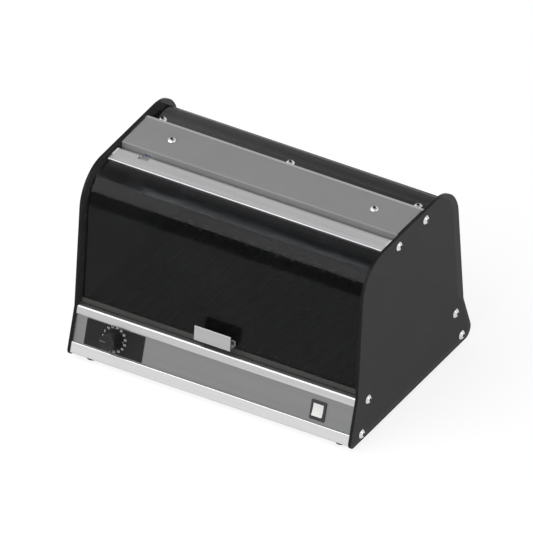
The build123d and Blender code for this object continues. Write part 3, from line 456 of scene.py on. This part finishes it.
def smoked_acrylic(name, tint, see_through, index, changes=()):
    """Polished smoked sheet: nearly black, a little see-through, with faint smudges and hair
    scratches in its gloss and a very slow waviness. A low index stands for a dull skin. Each
    band (axis, start, end, new index) is a painted reflection: it blends the index to the new
    one between two places along that axis, which makes the reflection weaker or stronger there."""
    material, tree, shader = new_material(name, IOR=index, Transmission_Weight=see_through)
    film = effect(tree, "film", {"Patch scale": 9.0})
    scratches = effect(tree, "drawn", {"Along": 14.0, "Across": 420.0})["Grain"]
    paler = tuple(c * 1.5 + 0.004 for c in tint)
    colour = blend_colour(tree, times(tree, film["Smudge"], 0.5), tint, paler)
    colour = blend_colour(tree, times(tree, film["Dust"], 0.10), colour, (0.35, 0.34, 0.33))
    worn = times(tree, effect(tree, "edges", {"Width": 0.0004})["Edge"], 0.10)
    colour = blend_colour(tree, worn, colour, (0.30, 0.30, 0.31))
    tree.links.new(colour, shader.inputs["Base Color"])
    smudged = spread_to(tree, film["Smudge"], 0.02, 0.10)
    gloss = joined(tree, "ADD", smudged, times(tree, scratches, 0.02))
    tree.links.new(gloss, shader.inputs["Roughness"])
    where = own_place(tree)
    bump_into(tree, shader, noise(tree, where, 5.0, 1.0), 0.05, 0.002)
    along = put(tree, "SeparateXYZ", {0: where}).outputs
    for axis, start, end, new_index in changes:
        index = blend_number(tree, ramp(tree, along[axis], start, end), index, new_index)
        tree.links.new(index, shader.inputs["IOR"])
    return material


def chromed_dome():
    """Polished chrome. Past the socket's rim, by the share of the turned surface's rows, it
    carries painted shade, and a thin grey line of painted shade lies under the head's edge."""
    material, tree, shader = new_material("chrome_dome", Metallic=1.0)
    film = effect(tree, "film", {"Patch scale": 120.0})
    share = put(tree, "UVMap", uv_map="surface").outputs[0]
    rows = put(tree, "SeparateXYZ", {0: share}).outputs["X"]
    # Painted shade: the socket and the head's rim are darkened by their share of the rows.
    socket = ramp(tree, rows, SOCKET_START - 0.03, SOCKET_START)
    under_head_painted_shade = ramp(tree, rows, 0.26, 0.20)
    bright = blend_colour(tree, film["Smudge"], (0.68, 0.68, 0.69), (0.56, 0.56, 0.57))
    shaded = blend_colour(tree, socket, bright, (0.035, 0.035, 0.038))
    colour = blend_colour(tree, under_head_painted_shade, shaded, (0.10, 0.10, 0.10))
    tree.links.new(colour, shader.inputs["Base Color"])
    tree.links.new(spread_to(tree, film["Smudge"], 0.08, 0.20), shader.inputs["Roughness"])
    bump_into(tree, shader, film["Smudge"], 0.02)
    return material


def fascia_metal():
    """Satin anodised fascia. The recess between the two beads carries a matt grey film: a mask
    from the distance behind the leaning face. The beads have a paler grain, and the lower one
    carries a painted highlight that makes it the brighter."""
    material, tree, shader = new_material("fascia_anodised", Metallic=0.85)
    grain = effect(tree, "drawn", {"Along": 4.0, "Across": 520.0})
    film = effect(tree, "film")
    where = own_place(tree)
    inward = (0.0, FRONT_UP[1], -FRONT_UP[0])
    behind_face = put(tree, "VectorMath", {0: where, 1: inward}, operation="DOT_PRODUCT")
    face = float(world(0.0, FRONT_FOOT) @ inward)
    past_bead = ramp(tree, behind_face.outputs["Value"], face + 0.0022, face + 0.0026)
    before_back = ramp(tree, behind_face.outputs["Value"], face + 0.0045, face + 0.0040)
    recess = times(tree, past_bead, before_back)
    height = put(tree, "SeparateXYZ", {0: where}).outputs["Z"]
    bead = blend_colour(tree, grain["Grain"], (0.56, 0.56, 0.56), (0.46, 0.46, 0.465))
    # Painted highlight: below a given height the bead is blended towards white.
    lower = times(tree, ramp(tree, height, 0.050, 0.040), 0.3)
    bead = blend_colour(tree, lower, bead, (0.95, 0.95, 0.95))
    worn = times(tree, effect(tree, "edges")["Edge"], 0.6)
    bead = blend_colour(tree, worn, bead, (0.93, 0.93, 0.93))
    matt = blend_colour(tree, grain["Grain"], (0.237, 0.238, 0.240), (0.207, 0.208, 0.211))
    tree.links.new(blend_colour(tree, recess, bead, matt), shader.inputs["Base Color"])
    smooth = spread_to(tree, film["Smudge"], 0.26, 0.36)
    tree.links.new(blend_number(tree, recess, smooth, 0.5), shader.inputs["Roughness"])
    bump_into(tree, shader, grain["Height"], 0.10)
    return material


def laminated_core():
    """Choke: stacked steel laminations seen as fine lines across Y, dipped in dark lacquer."""
    material, tree, shader = new_material("lacquered_core", Metallic=0.55)
    stack = {"Vector": own_place(tree), "Scale": 320.0, "Distortion": 0.4}
    lines = put(tree, "TexWave", stack, bands_direction="Y").outputs["Fac"]
    tone = effect(tree, "moulded", {"Grain scale": 700.0})["Tone"]
    colour = blend_colour(tree, lines, (0.10, 0.09, 0.08), (0.20, 0.19, 0.18))
    colour = blend_colour(tree, times(tree, tone, 0.5), colour, (0.07, 0.06, 0.05))
    tree.links.new(colour, shader.inputs["Base Color"])
    tree.links.new(spread_to(tree, tone, 0.35, 0.6), shader.inputs["Roughness"])
    bump_into(tree, shader, lines, 0.3, 0.0003)
    return material


def quartz():
    """Clear quartz tube with a faint bloom on its wall."""
    material, tree, shader = new_material("quartz_tube", IOR=1.46, Transmission_Weight=0.92)
    bloom = effect(tree, "film", {"Patch scale": 40.0})["Smudge"]
    colour = blend_colour(tree, bloom, (0.96, 0.97, 1.0), (0.80, 0.82, 0.86))
    tree.links.new(colour, shader.inputs["Base Color"])
    tree.links.new(spread_to(tree, bloom, 0.03, 0.18), shader.inputs["Roughness"])
    return material


# --- Finishes of this cabinet: colour, its second tone, rubbed edges ------------------------
# Painted reflection: across the door's bend the index drops for a dull dark band, then rises for a
# bright band above it.
DOOR_SMOKE = smoked_acrylic(
    "door_smoke", (0.13, 0.134, 0.14), see_through=0.97, index=1.19,
    changes=[("Z", 0.256, 0.260, 1.05), ("Z", 0.2780, 0.2792, 1.23)],
)
PANEL_SMOKE = smoked_acrylic("panel_smoke", (0.034, 0.034, 0.034), see_through=0.60, index=1.155)
# Painted reflection: over the back cover's level top, towards its bend, the index drops, which dims its
# reflection.
BACK_SMOKE = smoked_acrylic(
    "back_smoke", (0.11, 0.11, 0.112), see_through=0.95, index=1.6, changes=[("Y", 0.060, 0.108, 1.03)],
)
CHROME = chromed_dome()
FASCIA = fascia_metal()
CORE = laminated_core()
QUARTZ = quartz()

STRIP = metal("strip_brushed", (0.73, 0.73, 0.735), (0.54, 0.54, 0.55), (0.95, 0.95, 0.95),
              rough=0.30, along=5.0, across=1100.0, bump=0.18)
HANDLE = metal("handle_anodised", (0.47, 0.47, 0.47), (0.40, 0.40, 0.404), (0.85, 0.85, 0.85),
               rough=0.34, along=9.0, across=1300.0)
RAIL = metal("rail_mill_finish", (0.60, 0.60, 0.605), (0.46, 0.46, 0.465), (0.8, 0.8, 0.8), rough=0.32)
ZINC = metal("zinc_plated", (0.56, 0.56, 0.52), (0.44, 0.44, 0.40), (0.7, 0.7, 0.66),
             rough=0.34, along=30.0, across=160.0, bump=0.15, wear=0.4)
MIRROR = metal("reflector_bright", (0.86, 0.87, 0.88), (0.80, 0.81, 0.82), (0.93, 0.93, 0.93),
               rough=0.12, along=12.0, across=500.0, bump=0.06)
FLOOR_STEEL = metal("floor_dark_steel", (0.16, 0.16, 0.162), (0.11, 0.11, 0.112), (0.35, 0.35, 0.35),
                    rough=0.38, along=8.0, across=700.0)
BRASS = metal("pin_brass", (0.72, 0.53, 0.24), (0.58, 0.41, 0.17), (0.85, 0.70, 0.42),
              rough=0.26, along=40.0, across=600.0, bump=0.08)

# Rubbed edges of the cover: wear, and also a painted highlight along its front bend.
COVER = moulded("cover_grey_satin", (0.262, 0.262, 0.262), (0.245, 0.246, 0.248), (0.60, 0.60, 0.60),
                rough=0.42, grain=1800.0, bump=0.08, wear=0.8, dust=0.10)
HOUSING = moulded("housing_grey_enamel", (0.36, 0.36, 0.365), (0.30, 0.30, 0.305), (0.50, 0.50, 0.50),
                  rough=0.38, grain=1500.0)
PLATE = moulded("dial_plate_black", (0.020, 0.020, 0.021), (0.014, 0.014, 0.015), (0.10, 0.10, 0.10),
                rough=0.46, grain=2200.0, bump=0.10, dust=0.2, Specular_IOR_Level=0.15)
KNOB = moulded("knob_black", (0.022, 0.022, 0.023), (0.015, 0.015, 0.016), (0.10, 0.10, 0.10),
               rough=0.42, grain=1600.0, Specular_IOR_Level=0.18)
POINTER = moulded("pointer_grey", (0.14, 0.14, 0.14), (0.11, 0.11, 0.11), (0.2, 0.2, 0.2),
                  rough=0.5, grain=1600.0)
PRINT = moulded("dial_print", (0.86, 0.86, 0.84), (0.74, 0.74, 0.72), (0.86, 0.86, 0.84),
                rough=0.5, grain=3000.0, wear=0.0)
BLACK_PLASTIC = moulded("case_black", (0.020, 0.020, 0.021), (0.013, 0.013, 0.014), (0.09, 0.09, 0.09),
                        rough=0.40)
WHITE_PLASTIC = moulded("moulded_white", (0.83, 0.83, 0.81), (0.77, 0.77, 0.75), (0.92, 0.92, 0.90),
                        rough=0.32, grain=1800.0, bump=0.05)
BLUE_PLASTIC = moulded("moulded_blue", (0.10, 0.17, 0.30), (0.08, 0.14, 0.24), (0.28, 0.36, 0.50),
                       rough=0.42)
NYLON = moulded("natural_nylon", (0.72, 0.71, 0.66), (0.64, 0.63, 0.58), (0.84, 0.83, 0.80),
                rough=0.44, Subsurface_Weight=0.15, Subsurface_Scale=0.001)
RUBBER = moulded("foot_rubber", (0.016, 0.016, 0.016), (0.010, 0.010, 0.010), (0.05, 0.05, 0.05),
                 rough=0.72, grain=1200.0, bump=0.3)
SEAL = moulded("seal_rubber", (0.040, 0.038, 0.035), (0.024, 0.023, 0.022), (0.09, 0.088, 0.085),
               rough=0.60, grain=1500.0, bump=0.25)

NODE_FINISH = {
    "side_panel_left": PANEL_SMOKE, "side_panel_right": PANEL_SMOKE, "front_fascia": FASCIA,
    "rear_base_rail": RAIL, "top_rear_rail": RAIL, "door_hinge_rail": STRIP, "top_cover": COVER,
    "pivot_bushes": NYLON, "rail_end_caps": WHITE_PLASTIC, "door_bumpers": RUBBER,
    "timer_plate": PLATE, "timer_body": WHITE_PLASTIC, "timer_shaft": ZINC, "timer_screws": ZINC,
    "switch_body": BLACK_PLASTIC, "door_switch": BLUE_PLASTIC, "switch_plunger": NYLON,
    "power_inlet": BLACK_PLASTIC, "inlet_pins": BRASS, "inlet_screws": ZINC,
    "lamp_housing": HOUSING, "reflector": MIRROR, "uv_tube": QUARTZ, "uv_tube_caps": MIRROR,
    "lampholder_left": WHITE_PLASTIC, "lampholder_right": WHITE_PLASTIC, "ballast": CORE,
    "starter": WHITE_PLASTIC, "starter_socket": BLACK_PLASTIC, "terminal_block": NYLON,
    "floor_plate": FLOOR_STEEL, "base_plate": ZINC, "foot_screws": ZINC,
}
for name, material in NODE_FINISH.items():
    mesh = frame["nodes"][name].data
    mesh.materials.clear()
    mesh.materials.append(material)


# --- Bent sheets ----------------------------------------------------------------------------
def door_sheet():
    """Door: the closed section of a sheet bent once, carried along X. Between the notch's two
    sides the section's back edge steps forward."""
    bend = at_height(DOOR_FOOT, DOOR_UP, DOOR_INSET, DOOR_TOP)
    inner = at_height(DOOR_FOOT, DOOR_UP, DOOR_INSET + SHEET_T, DOOR_TOP - SHEET_T)
    corners = [on_door(DOOR_BOTTOM), bend, (DOOR_BACK, DOOR_TOP), (DOOR_BACK, DOOR_TOP - SHEET_T),
               inner, on_door(DOOR_BOTTOM, SHEET_T)]
    radii = [0.5, DOOR_BEND_R, 0.3, 0.3, DOOR_BEND_R - SHEET_T, 0.5]
    low, high = NOTCH
    edges = np.array([low - 0.01, low, high, high + 0.01])
    grid = swept_bar(rounded_outline(corners, radii, 40), -DOOR_HALF, DOOR_HALF, 0.5, edges)
    x, depth = grid[..., 0] / MM, grid[..., 1] / MM + ORIGIN_DEPTH
    in_notch = (x > low - 0.005) & (x < high + 0.005) & (depth > NOTCH_FRONT)
    grid[..., 1] = np.where(in_notch, (NOTCH_FRONT - ORIGIN_DEPTH) * MM, grid[..., 1])
    return grid


def back_sheet():
    """Back cover: the closed section of a sheet bent once, carried along X."""
    bend = at_height(BACK_FOOT, BACK_UP, BACK_INSET, BACK_TOP)
    inner = at_height(BACK_FOOT, BACK_UP, BACK_INSET + SHEET_T, BACK_TOP - SHEET_T)
    corners = [(BACK_FRONT, BACK_TOP), bend, on_back(BACK_BOTTOM), on_back(BACK_BOTTOM, SHEET_T),
               inner, (BACK_FRONT, BACK_TOP - SHEET_T)]
    radii = [0.5, BACK_BEND_R, 0.5, 0.5, BACK_BEND_R - SHEET_T, 0.5]
    return swept_bar(rounded_outline(corners, radii, 40), -BACK_HALF, BACK_HALF, 0.5)


door = piece("door_sheet", [door_sheet()], "door", DOOR_SMOKE)
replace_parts(door, "door_panel")
back = piece("back_sheet", [back_sheet()], "root", BACK_SMOKE)
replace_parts(back, "back_cover")


# --- Dome screws ----------------------------------------------------------------------------
SIDE_SCREWS = np.array([(223.7, 287.8), (54.6, 63.7), (35.2, 12.4), (311.3, 64.3), (328.5, 14.6)])
PIVOT = np.array([145.2, 287.2])
SIDE_SHANK, PIVOT_SHANK = 22.0, 16.0
COVER_SCREW, COVER_SCREW_X = np.array([191.5, 302.0]), (-175.0, 175.0)
BACK_SCREW, BACK_SCREW_X = np.array([242.0, BACK_TOP]), (-221.0, 0.0, 221.0)
LOW_BACK_SCREW = on_back(95.0)
HANDLE_SCREW, HANDLE_SCREW_X = on_door(100.1, SHEET_T), (-23.0, 17.0)
HANDLE_GRIP = 1.6            # how far a handle screw reaches out of the door's front
HOUSING_SCREW, HOUSING_SCREW_X = np.array([153.6, 246.0]), (-116.0, 106.0)
SMALL_HEAD = {"head_r": 7.0, "head_h": 4.0, "shank_r": 1.8}
HANDLE_HEAD = {"head_r": 3.2, "head_h": 1.9, "shank_r": 1.5}
HOUSING_HEAD = {"head_r": 4.0, "head_h": 2.2, "shank_r": 1.5}

ACROSS = (1.0, 0.0, 0.0)
FORWARD = (0.0, -1.0, 0.0)
UP = (0.0, 0.0, 1.0)
BACK_OUT = (0.0, BACK_UP[1], -BACK_UP[0])
DOOR_IN = (0.0, DOOR_UP[1], -DOOR_UP[0])


def dome_row(every_x, side, axis, up, shank, **head):
    """Equal dome screws at one side-view point, one at each x."""
    return [dome_screw(world(x, side), axis, up, shank, **head) for x in every_x]


for side_name, s in (("left", -1.0), ("right", 1.0)):
    grids = [
        dome_screw(world(s * PANEL_OUT, at), (s, 0, 0), (0, math.cos(k), math.sin(k)), SIDE_SHANK)
        for k, at in enumerate(SIDE_SCREWS)
    ]
    domes = piece(f"side_domes_{side_name}", grids, "root", CHROME)
    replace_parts(domes, f"side_screws_{side_name}")

grids = [
    dome_screw(world(s * PANEL_OUT, PIVOT), (s, 0, 0), (0, 0.6, 0.8), PIVOT_SHANK) for s in (-1.0, 1.0)
]
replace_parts(piece("pivot_domes", grids, "root", CHROME), "pivot_screws")

grids = dome_row(COVER_SCREW_X, COVER_SCREW, UP, (0.8, 0.6, 0), 7.0, **SMALL_HEAD)
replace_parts(piece("cover_domes", grids, "root", CHROME), "top_cover_screws")

grids = dome_row(BACK_SCREW_X, BACK_SCREW, UP, (0.96, 0.28, 0), 8.0, **SMALL_HEAD)
grids += dome_row(BACK_SCREW_X, LOW_BACK_SCREW, BACK_OUT, ACROSS, 9.0, **SMALL_HEAD)
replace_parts(piece("back_domes", grids, "root", CHROME), "back_cover_screws")

grids = dome_row(HANDLE_SCREW_X, HANDLE_SCREW, DOOR_IN, ACROSS, SHEET_T + HANDLE_GRIP, **HANDLE_HEAD)
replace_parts(piece("handle_screw_heads", grids, "door", CHROME), "handle_screws")

grids = dome_row(HOUSING_SCREW_X, HOUSING_SCREW, FORWARD, ACROSS, 5.0, **HOUSING_HEAD)
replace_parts(piece("housing_screw_heads", grids, "root", ZINC), "lamp_housing_screws")


# --- Seal and handle ------------------------------------------------------------------------
def ribbed_seal():
    """Channel on the door's bottom edge, carried along X. Its skin dips by
    depth * (0.5 - 0.5 cos(2 pi x / pitch)) on the front and the underside, which leaves ribs."""
    wall, low, high, rib_top = 1.2, 81.8, 91.0, 90.0
    pitch, depth = 2.4, 0.30
    corners = [on_door(high, SHEET_T + wall), on_door(low, SHEET_T + wall), on_door(low, -wall),
               on_door(high, -wall), on_door(high), on_door(DOOR_BOTTOM),
               on_door(DOOR_BOTTOM, SHEET_T), on_door(high, SHEET_T)]
    section = rounded_outline(corners, [0.4, 1.4, 1.4, 0.4, 0.1, 0.1, 0.1, 0.1], 5)
    normal = outward(section)
    x = np.linspace(-DOOR_HALF, DOOR_HALF, 1180)
    dip = depth * (0.5 - 0.5 * np.cos(2 * math.pi * x / pitch))
    front = (normal[:, 0] < -0.6) & (section[:, 0] < on_door(high)[0])
    ribbed = (front | (normal[:, 1] < -0.6)) & (section[:, 1] < rib_top)
    side = section[None] - normal[None] * (dip[:, None] * ribbed[None])[..., None]
    return world(x[:, None], side)


def pull_handle():
    """Hook-shaped extrusion: leg on the door, web below, pull plate in front, carried along X
    with rounded ends."""
    middle_x, half, wall, reach = -3.0, 31.35, 2.6, 17.7
    low, leg_top, high = 93.8, 103.8, 119.8
    foot = on_door(low) - (reach, 0)
    top = on_door(high) - (reach, 0)
    corners = [on_door(leg_top), on_door(low), foot, top, top + (wall, 0), foot + (wall + 0.2, wall),
               on_door(low) + (0.2 - wall, wall), on_door(leg_top, -wall)]
    section = rounded_outline(corners, [0.2, 2.8, 3.0, 0.9, 0.9, 0.5, 0.5, 0.9], 7)
    return swept_bar(section, middle_x - half, middle_x + half, 0.7)


seal = piece("ribbed_seal", [ribbed_seal()], "door", SEAL, 60.0)
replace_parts(seal, "door_seal")
handle = piece("pull_handle", [pull_handle()], "door", HANDLE)
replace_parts(handle, "door_handle")


# --- Timer dial -----------------------------------------------------------------------------
FACE_OUT = np.array([0.0, -FRONT_UP[1], FRONT_UP[0]])
FACE_UP = np.array([0.0, FRONT_UP[0], FRONT_UP[1]])
shaft_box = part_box("timer_shaft")
DIAL_X = (shaft_box[0].x + shaft_box[1].x) / 2 / MM
DIAL_S = 49.0                # up the leaning face
PLATE_FACE = 2.45            # behind the leaning face, where the numerals are printed
KNOB_FOOT = 1.9              # behind the leaning face, where the knob starts
KNOB_H = 22.0
ZERO_ANGLE = -87.5           # where the scale starts, clockwise from straight up the face
SCALE_STEP = 23.5            # degrees between numerals
NUMERALS, MINUTES_EACH = 13, 5
RING_R = 19.2
NUMERAL_H, PRINT_T = 4.9, 0.03


def dial_direction(degrees):
    """Unit vector on the leaning face, at an angle clockwise from straight up."""
    a = math.radians(degrees)
    return FACE_UP * math.cos(a) + np.array(ACROSS) * math.sin(a)


def fluted_knob():
    """Turned knob with 36 shallow flutes: on the flank the radius is
    r - depth * (0.5 + 0.5 cos(36 a)) * fade, where fade falls to 0 at the foot and the crown."""
    segments, flutes, depth = 216, 36, 0.45
    foot_r, crown_r = 14.4, 13.0
    k = np.linspace(0, 1, 15)
    flank = np.stack([foot_r + (crown_r - foot_r) * k, 1.2 + (KNOB_H - 3.0) * k], 1)
    f = np.linspace(0, math.pi / 2, 8)[1:]
    crown = np.stack([crown_r - 1.5 * (1 - np.cos(f)), KNOB_H - 1.8 + 1.5 * np.sin(f)], 1)
    under = np.array([(0.0, 0.3), (12.6, 0.3), (13.6, 0.0), (foot_r, 0.4)])
    face = np.array([(10.6, -0.3), (10.2, -0.6), (5.0, -0.7), (0.0, -0.7)]) + (0.0, KNOB_H)
    profile = np.concatenate([under, flank, crown, face])
    fade = np.zeros(len(profile))
    fade[len(under): len(under) + len(flank)] = np.sin(math.pi * np.minimum(k * 1.02, 1)) ** 0.3
    a = np.linspace(0, 2 * math.pi, segments, endpoint=False)
    rows = np.repeat(profile[:, None, :], segments, 1)
    rows[..., 0] -= depth * fade[:, None] * (0.5 + 0.5 * np.cos(flutes * a))[None]
    return turned(rows, segments, world(DIAL_X, on_front(DIAL_S, KNOB_FOOT)), FACE_OUT, FACE_UP)


def pointer_line():
    """Inlaid line on the knob's face: a bar of oval section, (half cos b, 0.45 sin b) across
    and out of the face, carried away from the axis and lower near its outer end."""
    start, end, half, lowered_from = 3.0, 12.4, 0.7, 10.4
    base = world(DIAL_X, on_front(DIAL_S, KNOB_FOOT)) + FACE_OUT * (KNOB_H - 0.8) * MM
    along = dial_direction(ZERO_ANGLE)
    across = np.cross(FACE_OUT, along)
    b = np.linspace(0, 2 * math.pi, 16, endpoint=False)[None, :, None]
    reach = np.linspace(start, end, 9)[:, None, None]
    height = 0.4 + 0.45 * np.sin(b)
    height = np.where(reach > lowered_from, height - 0.15, height)
    return base + (along * reach + across * half * np.cos(b) + FACE_OUT * height) * MM


def dial_numerals():
    """Numerals round the dial: text made a mesh, stood upright at its angle on the ring, and
    placed on the plate's face in its own mesh."""
    stand_up = Matrix((Vector(ACROSS), Vector(FACE_UP), Vector(FACE_OUT))).transposed().to_4x4()
    dial_middle = world(DIAL_X, on_front(DIAL_S, PLATE_FACE))
    words = bmesh.new()
    for k in range(NUMERALS):
        curve = bpy.data.curves.new("numeral", "FONT")
        curve.body = str(MINUTES_EACH * k)
        curve.size = NUMERAL_H * MM
        curve.extrude = PRINT_T * MM
        curve.align_x, curve.align_y = "CENTER", "CENTER"
        holder = bpy.data.objects.new("numeral", curve)
        bpy.context.scene.collection.objects.link(holder)
        bpy.context.view_layer.update()
        mesh = bpy.data.meshes.new_from_object(holder)
        centre = dial_middle + dial_direction(ZERO_ANGLE + SCALE_STEP * k) * RING_R * MM
        mesh.transform(Matrix.Translation(Vector(centre)) @ stand_up)
        words.from_mesh(mesh)
        bpy.data.objects.remove(holder)
    bmesh.ops.triangulate(words, faces=words.faces)
    mesh = bpy.data.meshes.new("dial_numerals")
    words.to_mesh(mesh)
    words.free()
    return mesh


knob = piece("fluted_knob", [fluted_knob()], "timer_dial", KNOB, 40.0)
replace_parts(knob, "timer_knob")
piece("pointer_inlay", [pointer_line()], "timer_dial", POINTER)
place("dial_numerals", dial_numerals(), "root", PRINT)


# --- Rocker and feet ------------------------------------------------------------------------
FOOT_X, FOOT_DEPTHS = 215.0, (27.0, 331.0)


def rocker_cap():
    """Dished rocker: a rounded section in the plane across its axis, tipped about the axis
    under its face, carried along X with rounded ends."""
    x_low, x_high = 172.0, 190.0
    up_face, behind_face, axis_under, tip = 46.0, 3.5, 3.0, math.radians(-8.0)
    dish = [(-10.2, 3.4), (-5.0, 2.25), (0.0, 1.9), (5.0, 2.25), (10.2, 3.4)]
    corners = dish + [(9.4, -4.6), (-9.4, -4.6)]
    section = rounded_outline(corners, [1.0, 15.0, 15.0, 15.0, 1.0, 0.6, 0.6], 8)
    y, z = section[:, 0], section[:, 1] + axis_under
    up = y * math.cos(tip) - z * math.sin(tip)
    out = y * math.sin(tip) + z * math.cos(tip) - axis_under
    side = FRONT_FOOT + np.outer(up_face + up, FRONT_UP)
    side = side + np.outer(behind_face - out, (FRONT_UP[1], -FRONT_UP[0]))
    return swept_bar(side, x_low, x_high, 0.8)


def ringed_foot(x, depth):
    """Turned rubber foot: flank with two shallow rings, r = 8.9 + 1.1 k - 0.25 sin(3 pi k)^2
    over its height k, rounded sole, hollow for its screw."""
    k = np.linspace(0, 1, 17)
    flank = np.stack([8.9 + 1.1 * k - 0.25 * np.sin(3 * math.pi * k) ** 2, 1.2 + 10.3 * k], 1)
    hollow = [(2.1, 5.0), (4.6, 5.0), (4.6, 0.5), (5.1, 0.0)]
    sole = [(6.4, 0.0), (6.7, 0.35), (7.0, 0.0), (8.2, 0.0), (8.7, 0.35)]
    profile = np.concatenate([hollow, sole, flank, [(9.6, 11.5), (2.1, 11.5)]])
    return lathe(profile, 64, world(x, np.array([depth, ORIGIN_HEIGHT])), UP, ACROSS)


rocker = piece("rocker_cap", [rocker_cap()], "rocker", WHITE_PLASTIC)
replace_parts(rocker, "rocker_button")
grids = [ringed_foot(x, depth) for x in (-FOOT_X, FOOT_X) for depth in FOOT_DEPTHS]
feet = piece("ringed_feet", grids, "root", RUBBER, 50.0)
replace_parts(feet, "feet")


# --- Floor, light and camera ----------------------------------------------------------------
WHITE = (1.0, 1.0, 1.0, 1.0)
PALE = (0.75, 0.75, 0.75, 1.0)
MID_GREY = (0.30, 0.30, 0.30, 1.0)
FLOOR_HALF = 9.0             # metres
AZIMUTH, ELEVATION = math.radians(30.5), math.radians(35.2)
PICTURE_WIDTH = 0.79354
LOOKED_AT = Vector((-0.00086, 0.0, 0.1530))
CAMERA_AWAY = 2.5
MIDDLE = Vector((0.0, 0.0, 0.15))


def seen_rays(tree):
    """1 for camera, glossy and transmission rays, 0 for others."""
    rays = put(tree, "LightPath").outputs
    mirrored = joined(tree, "MAXIMUM", rays["Is Camera Ray"], rays["Is Glossy Ray"])
    return joined(tree, "MAXIMUM", mirrored, rays["Is Transmission Ray"])


def pale_floor():
    """Wide floor. Seen by the camera, in gloss and through glass it is white with a soft
    shadow, and it carries a painted shadow right under the cabinet, where its white glow is
    turned off; to other rays it is plain pale."""
    mesh = bpy.data.meshes.new("floor")
    corners = [(x * FLOOR_HALF, y * FLOOR_HALF, 0.0) for x, y in ((-1, -1), (1, -1), (1, 1), (-1, 1))]
    mesh.from_pydata(corners, [], [(0, 1, 2, 3)])
    floor = bpy.data.objects.new("floor", mesh)
    bpy.context.scene.collection.objects.link(floor)
    material = bpy.data.materials.new("pale_floor")
    material.use_nodes = True
    tree = material.node_tree
    tree.nodes.clear()
    plain = put(tree, "BsdfDiffuse", {"Color": PALE})
    shadowed = put(tree, "BsdfDiffuse", {"Color": MID_GREY})
    away = put(tree, "VectorMath", {0: own_place(tree)}, operation="ABSOLUTE").outputs[0]
    away = put(tree, "SeparateXYZ", {0: away}).outputs
    # Painted shadow: inside the cabinet's footprint the white glow is turned off, which leaves the
    # floor dark there.
    beside = ramp(tree, away["X"], 0.205, 0.225)
    before = ramp(tree, away["Y"], 0.120, 0.140)
    clear = joined(tree, "MAXIMUM", beside, before)
    glow = put(tree, "Emission", {"Color": WHITE, "Strength": times(tree, clear, 0.80)})
    white = put(tree, "AddShader", {0: shadowed.outputs[0], 1: glow.outputs[0]})
    seen = put(tree, "MixShader", {0: seen_rays(tree), 1: plain.outputs[0], 2: white.outputs[0]})
    tree.links.new(seen.outputs[0], put(tree, "OutputMaterial").inputs[0])
    mesh.materials.append(material)


def studio_world():
    """Studio: white round the horizon, dimmer overhead, and a plain level for soft light."""
    studio = bpy.data.worlds.new("studio")
    bpy.context.scene.world = studio
    studio.use_nodes = True
    tree = studio.node_tree
    tree.nodes.clear()
    direction = put(tree, "TexCoord").outputs["Generated"]
    overhead = put(tree, "VectorMath", {0: direction, 1: (0.0, 0.35, 0.94)}, operation="DOT_PRODUCT")
    ceiling = ramp(
        tree, overhead.outputs["Value"], 0.60, 1.0, 1.0, 0.30, interpolation_type="SMOOTHSTEP"
    )
    seen = put(tree, "Background", {"Color": WHITE, "Strength": ceiling})
    soft = put(tree, "Background", {"Color": WHITE, "Strength": 0.45})
    mixed = put(tree, "MixShader", {0: seen_rays(tree), 1: soft.outputs[0], 2: seen.outputs[0]})
    tree.links.new(mixed.outputs[0], put(tree, "OutputWorld").inputs[0])


def softbox(name, place_at, width, height, brightness):
    """Rectangular soft light that looks at the cabinet's middle."""
    light = bpy.data.lights.new(name, "AREA")
    light.shape, light.size, light.size_y = "RECTANGLE", width, height
    light.energy = brightness * math.pi * width * height
    box = bpy.data.objects.new(name, light)
    bpy.context.scene.collection.objects.link(box)
    box.location = place_at
    box.rotation_euler = (MIDDLE - Vector(place_at)).to_track_quat("-Z", "Y").to_euler()
    box.visible_camera = False


def photo_camera():
    """Parallel camera at the photograph's angle."""
    camera = bpy.data.cameras.new("camera")
    camera.type = "ORTHO"
    camera.ortho_scale = PICTURE_WIDTH
    camera.clip_end = 30.0
    level = math.cos(ELEVATION)
    away = Vector((math.sin(AZIMUTH) * level, -math.cos(AZIMUTH) * level, math.sin(ELEVATION)))
    holder = bpy.data.objects.new("camera", camera)
    bpy.context.scene.collection.objects.link(holder)
    holder.location = LOOKED_AT + away * CAMERA_AWAY
    holder.rotation_euler = away.to_track_quat("Z", "Y").to_euler()
    bpy.context.scene.camera = holder


pale_floor()
studio_world()
softbox("front_softbox", (-0.85, -1.75, 1.95), width=3.6, height=2.3, brightness=2.0)
softbox("right_softbox", (2.4, 0.4, 1.2), width=1.0, height=1.6, brightness=1.2)
photo_camera()
bpy.context.scene.view_settings.view_transform = "Standard"

bpy.context.view_layer.update()
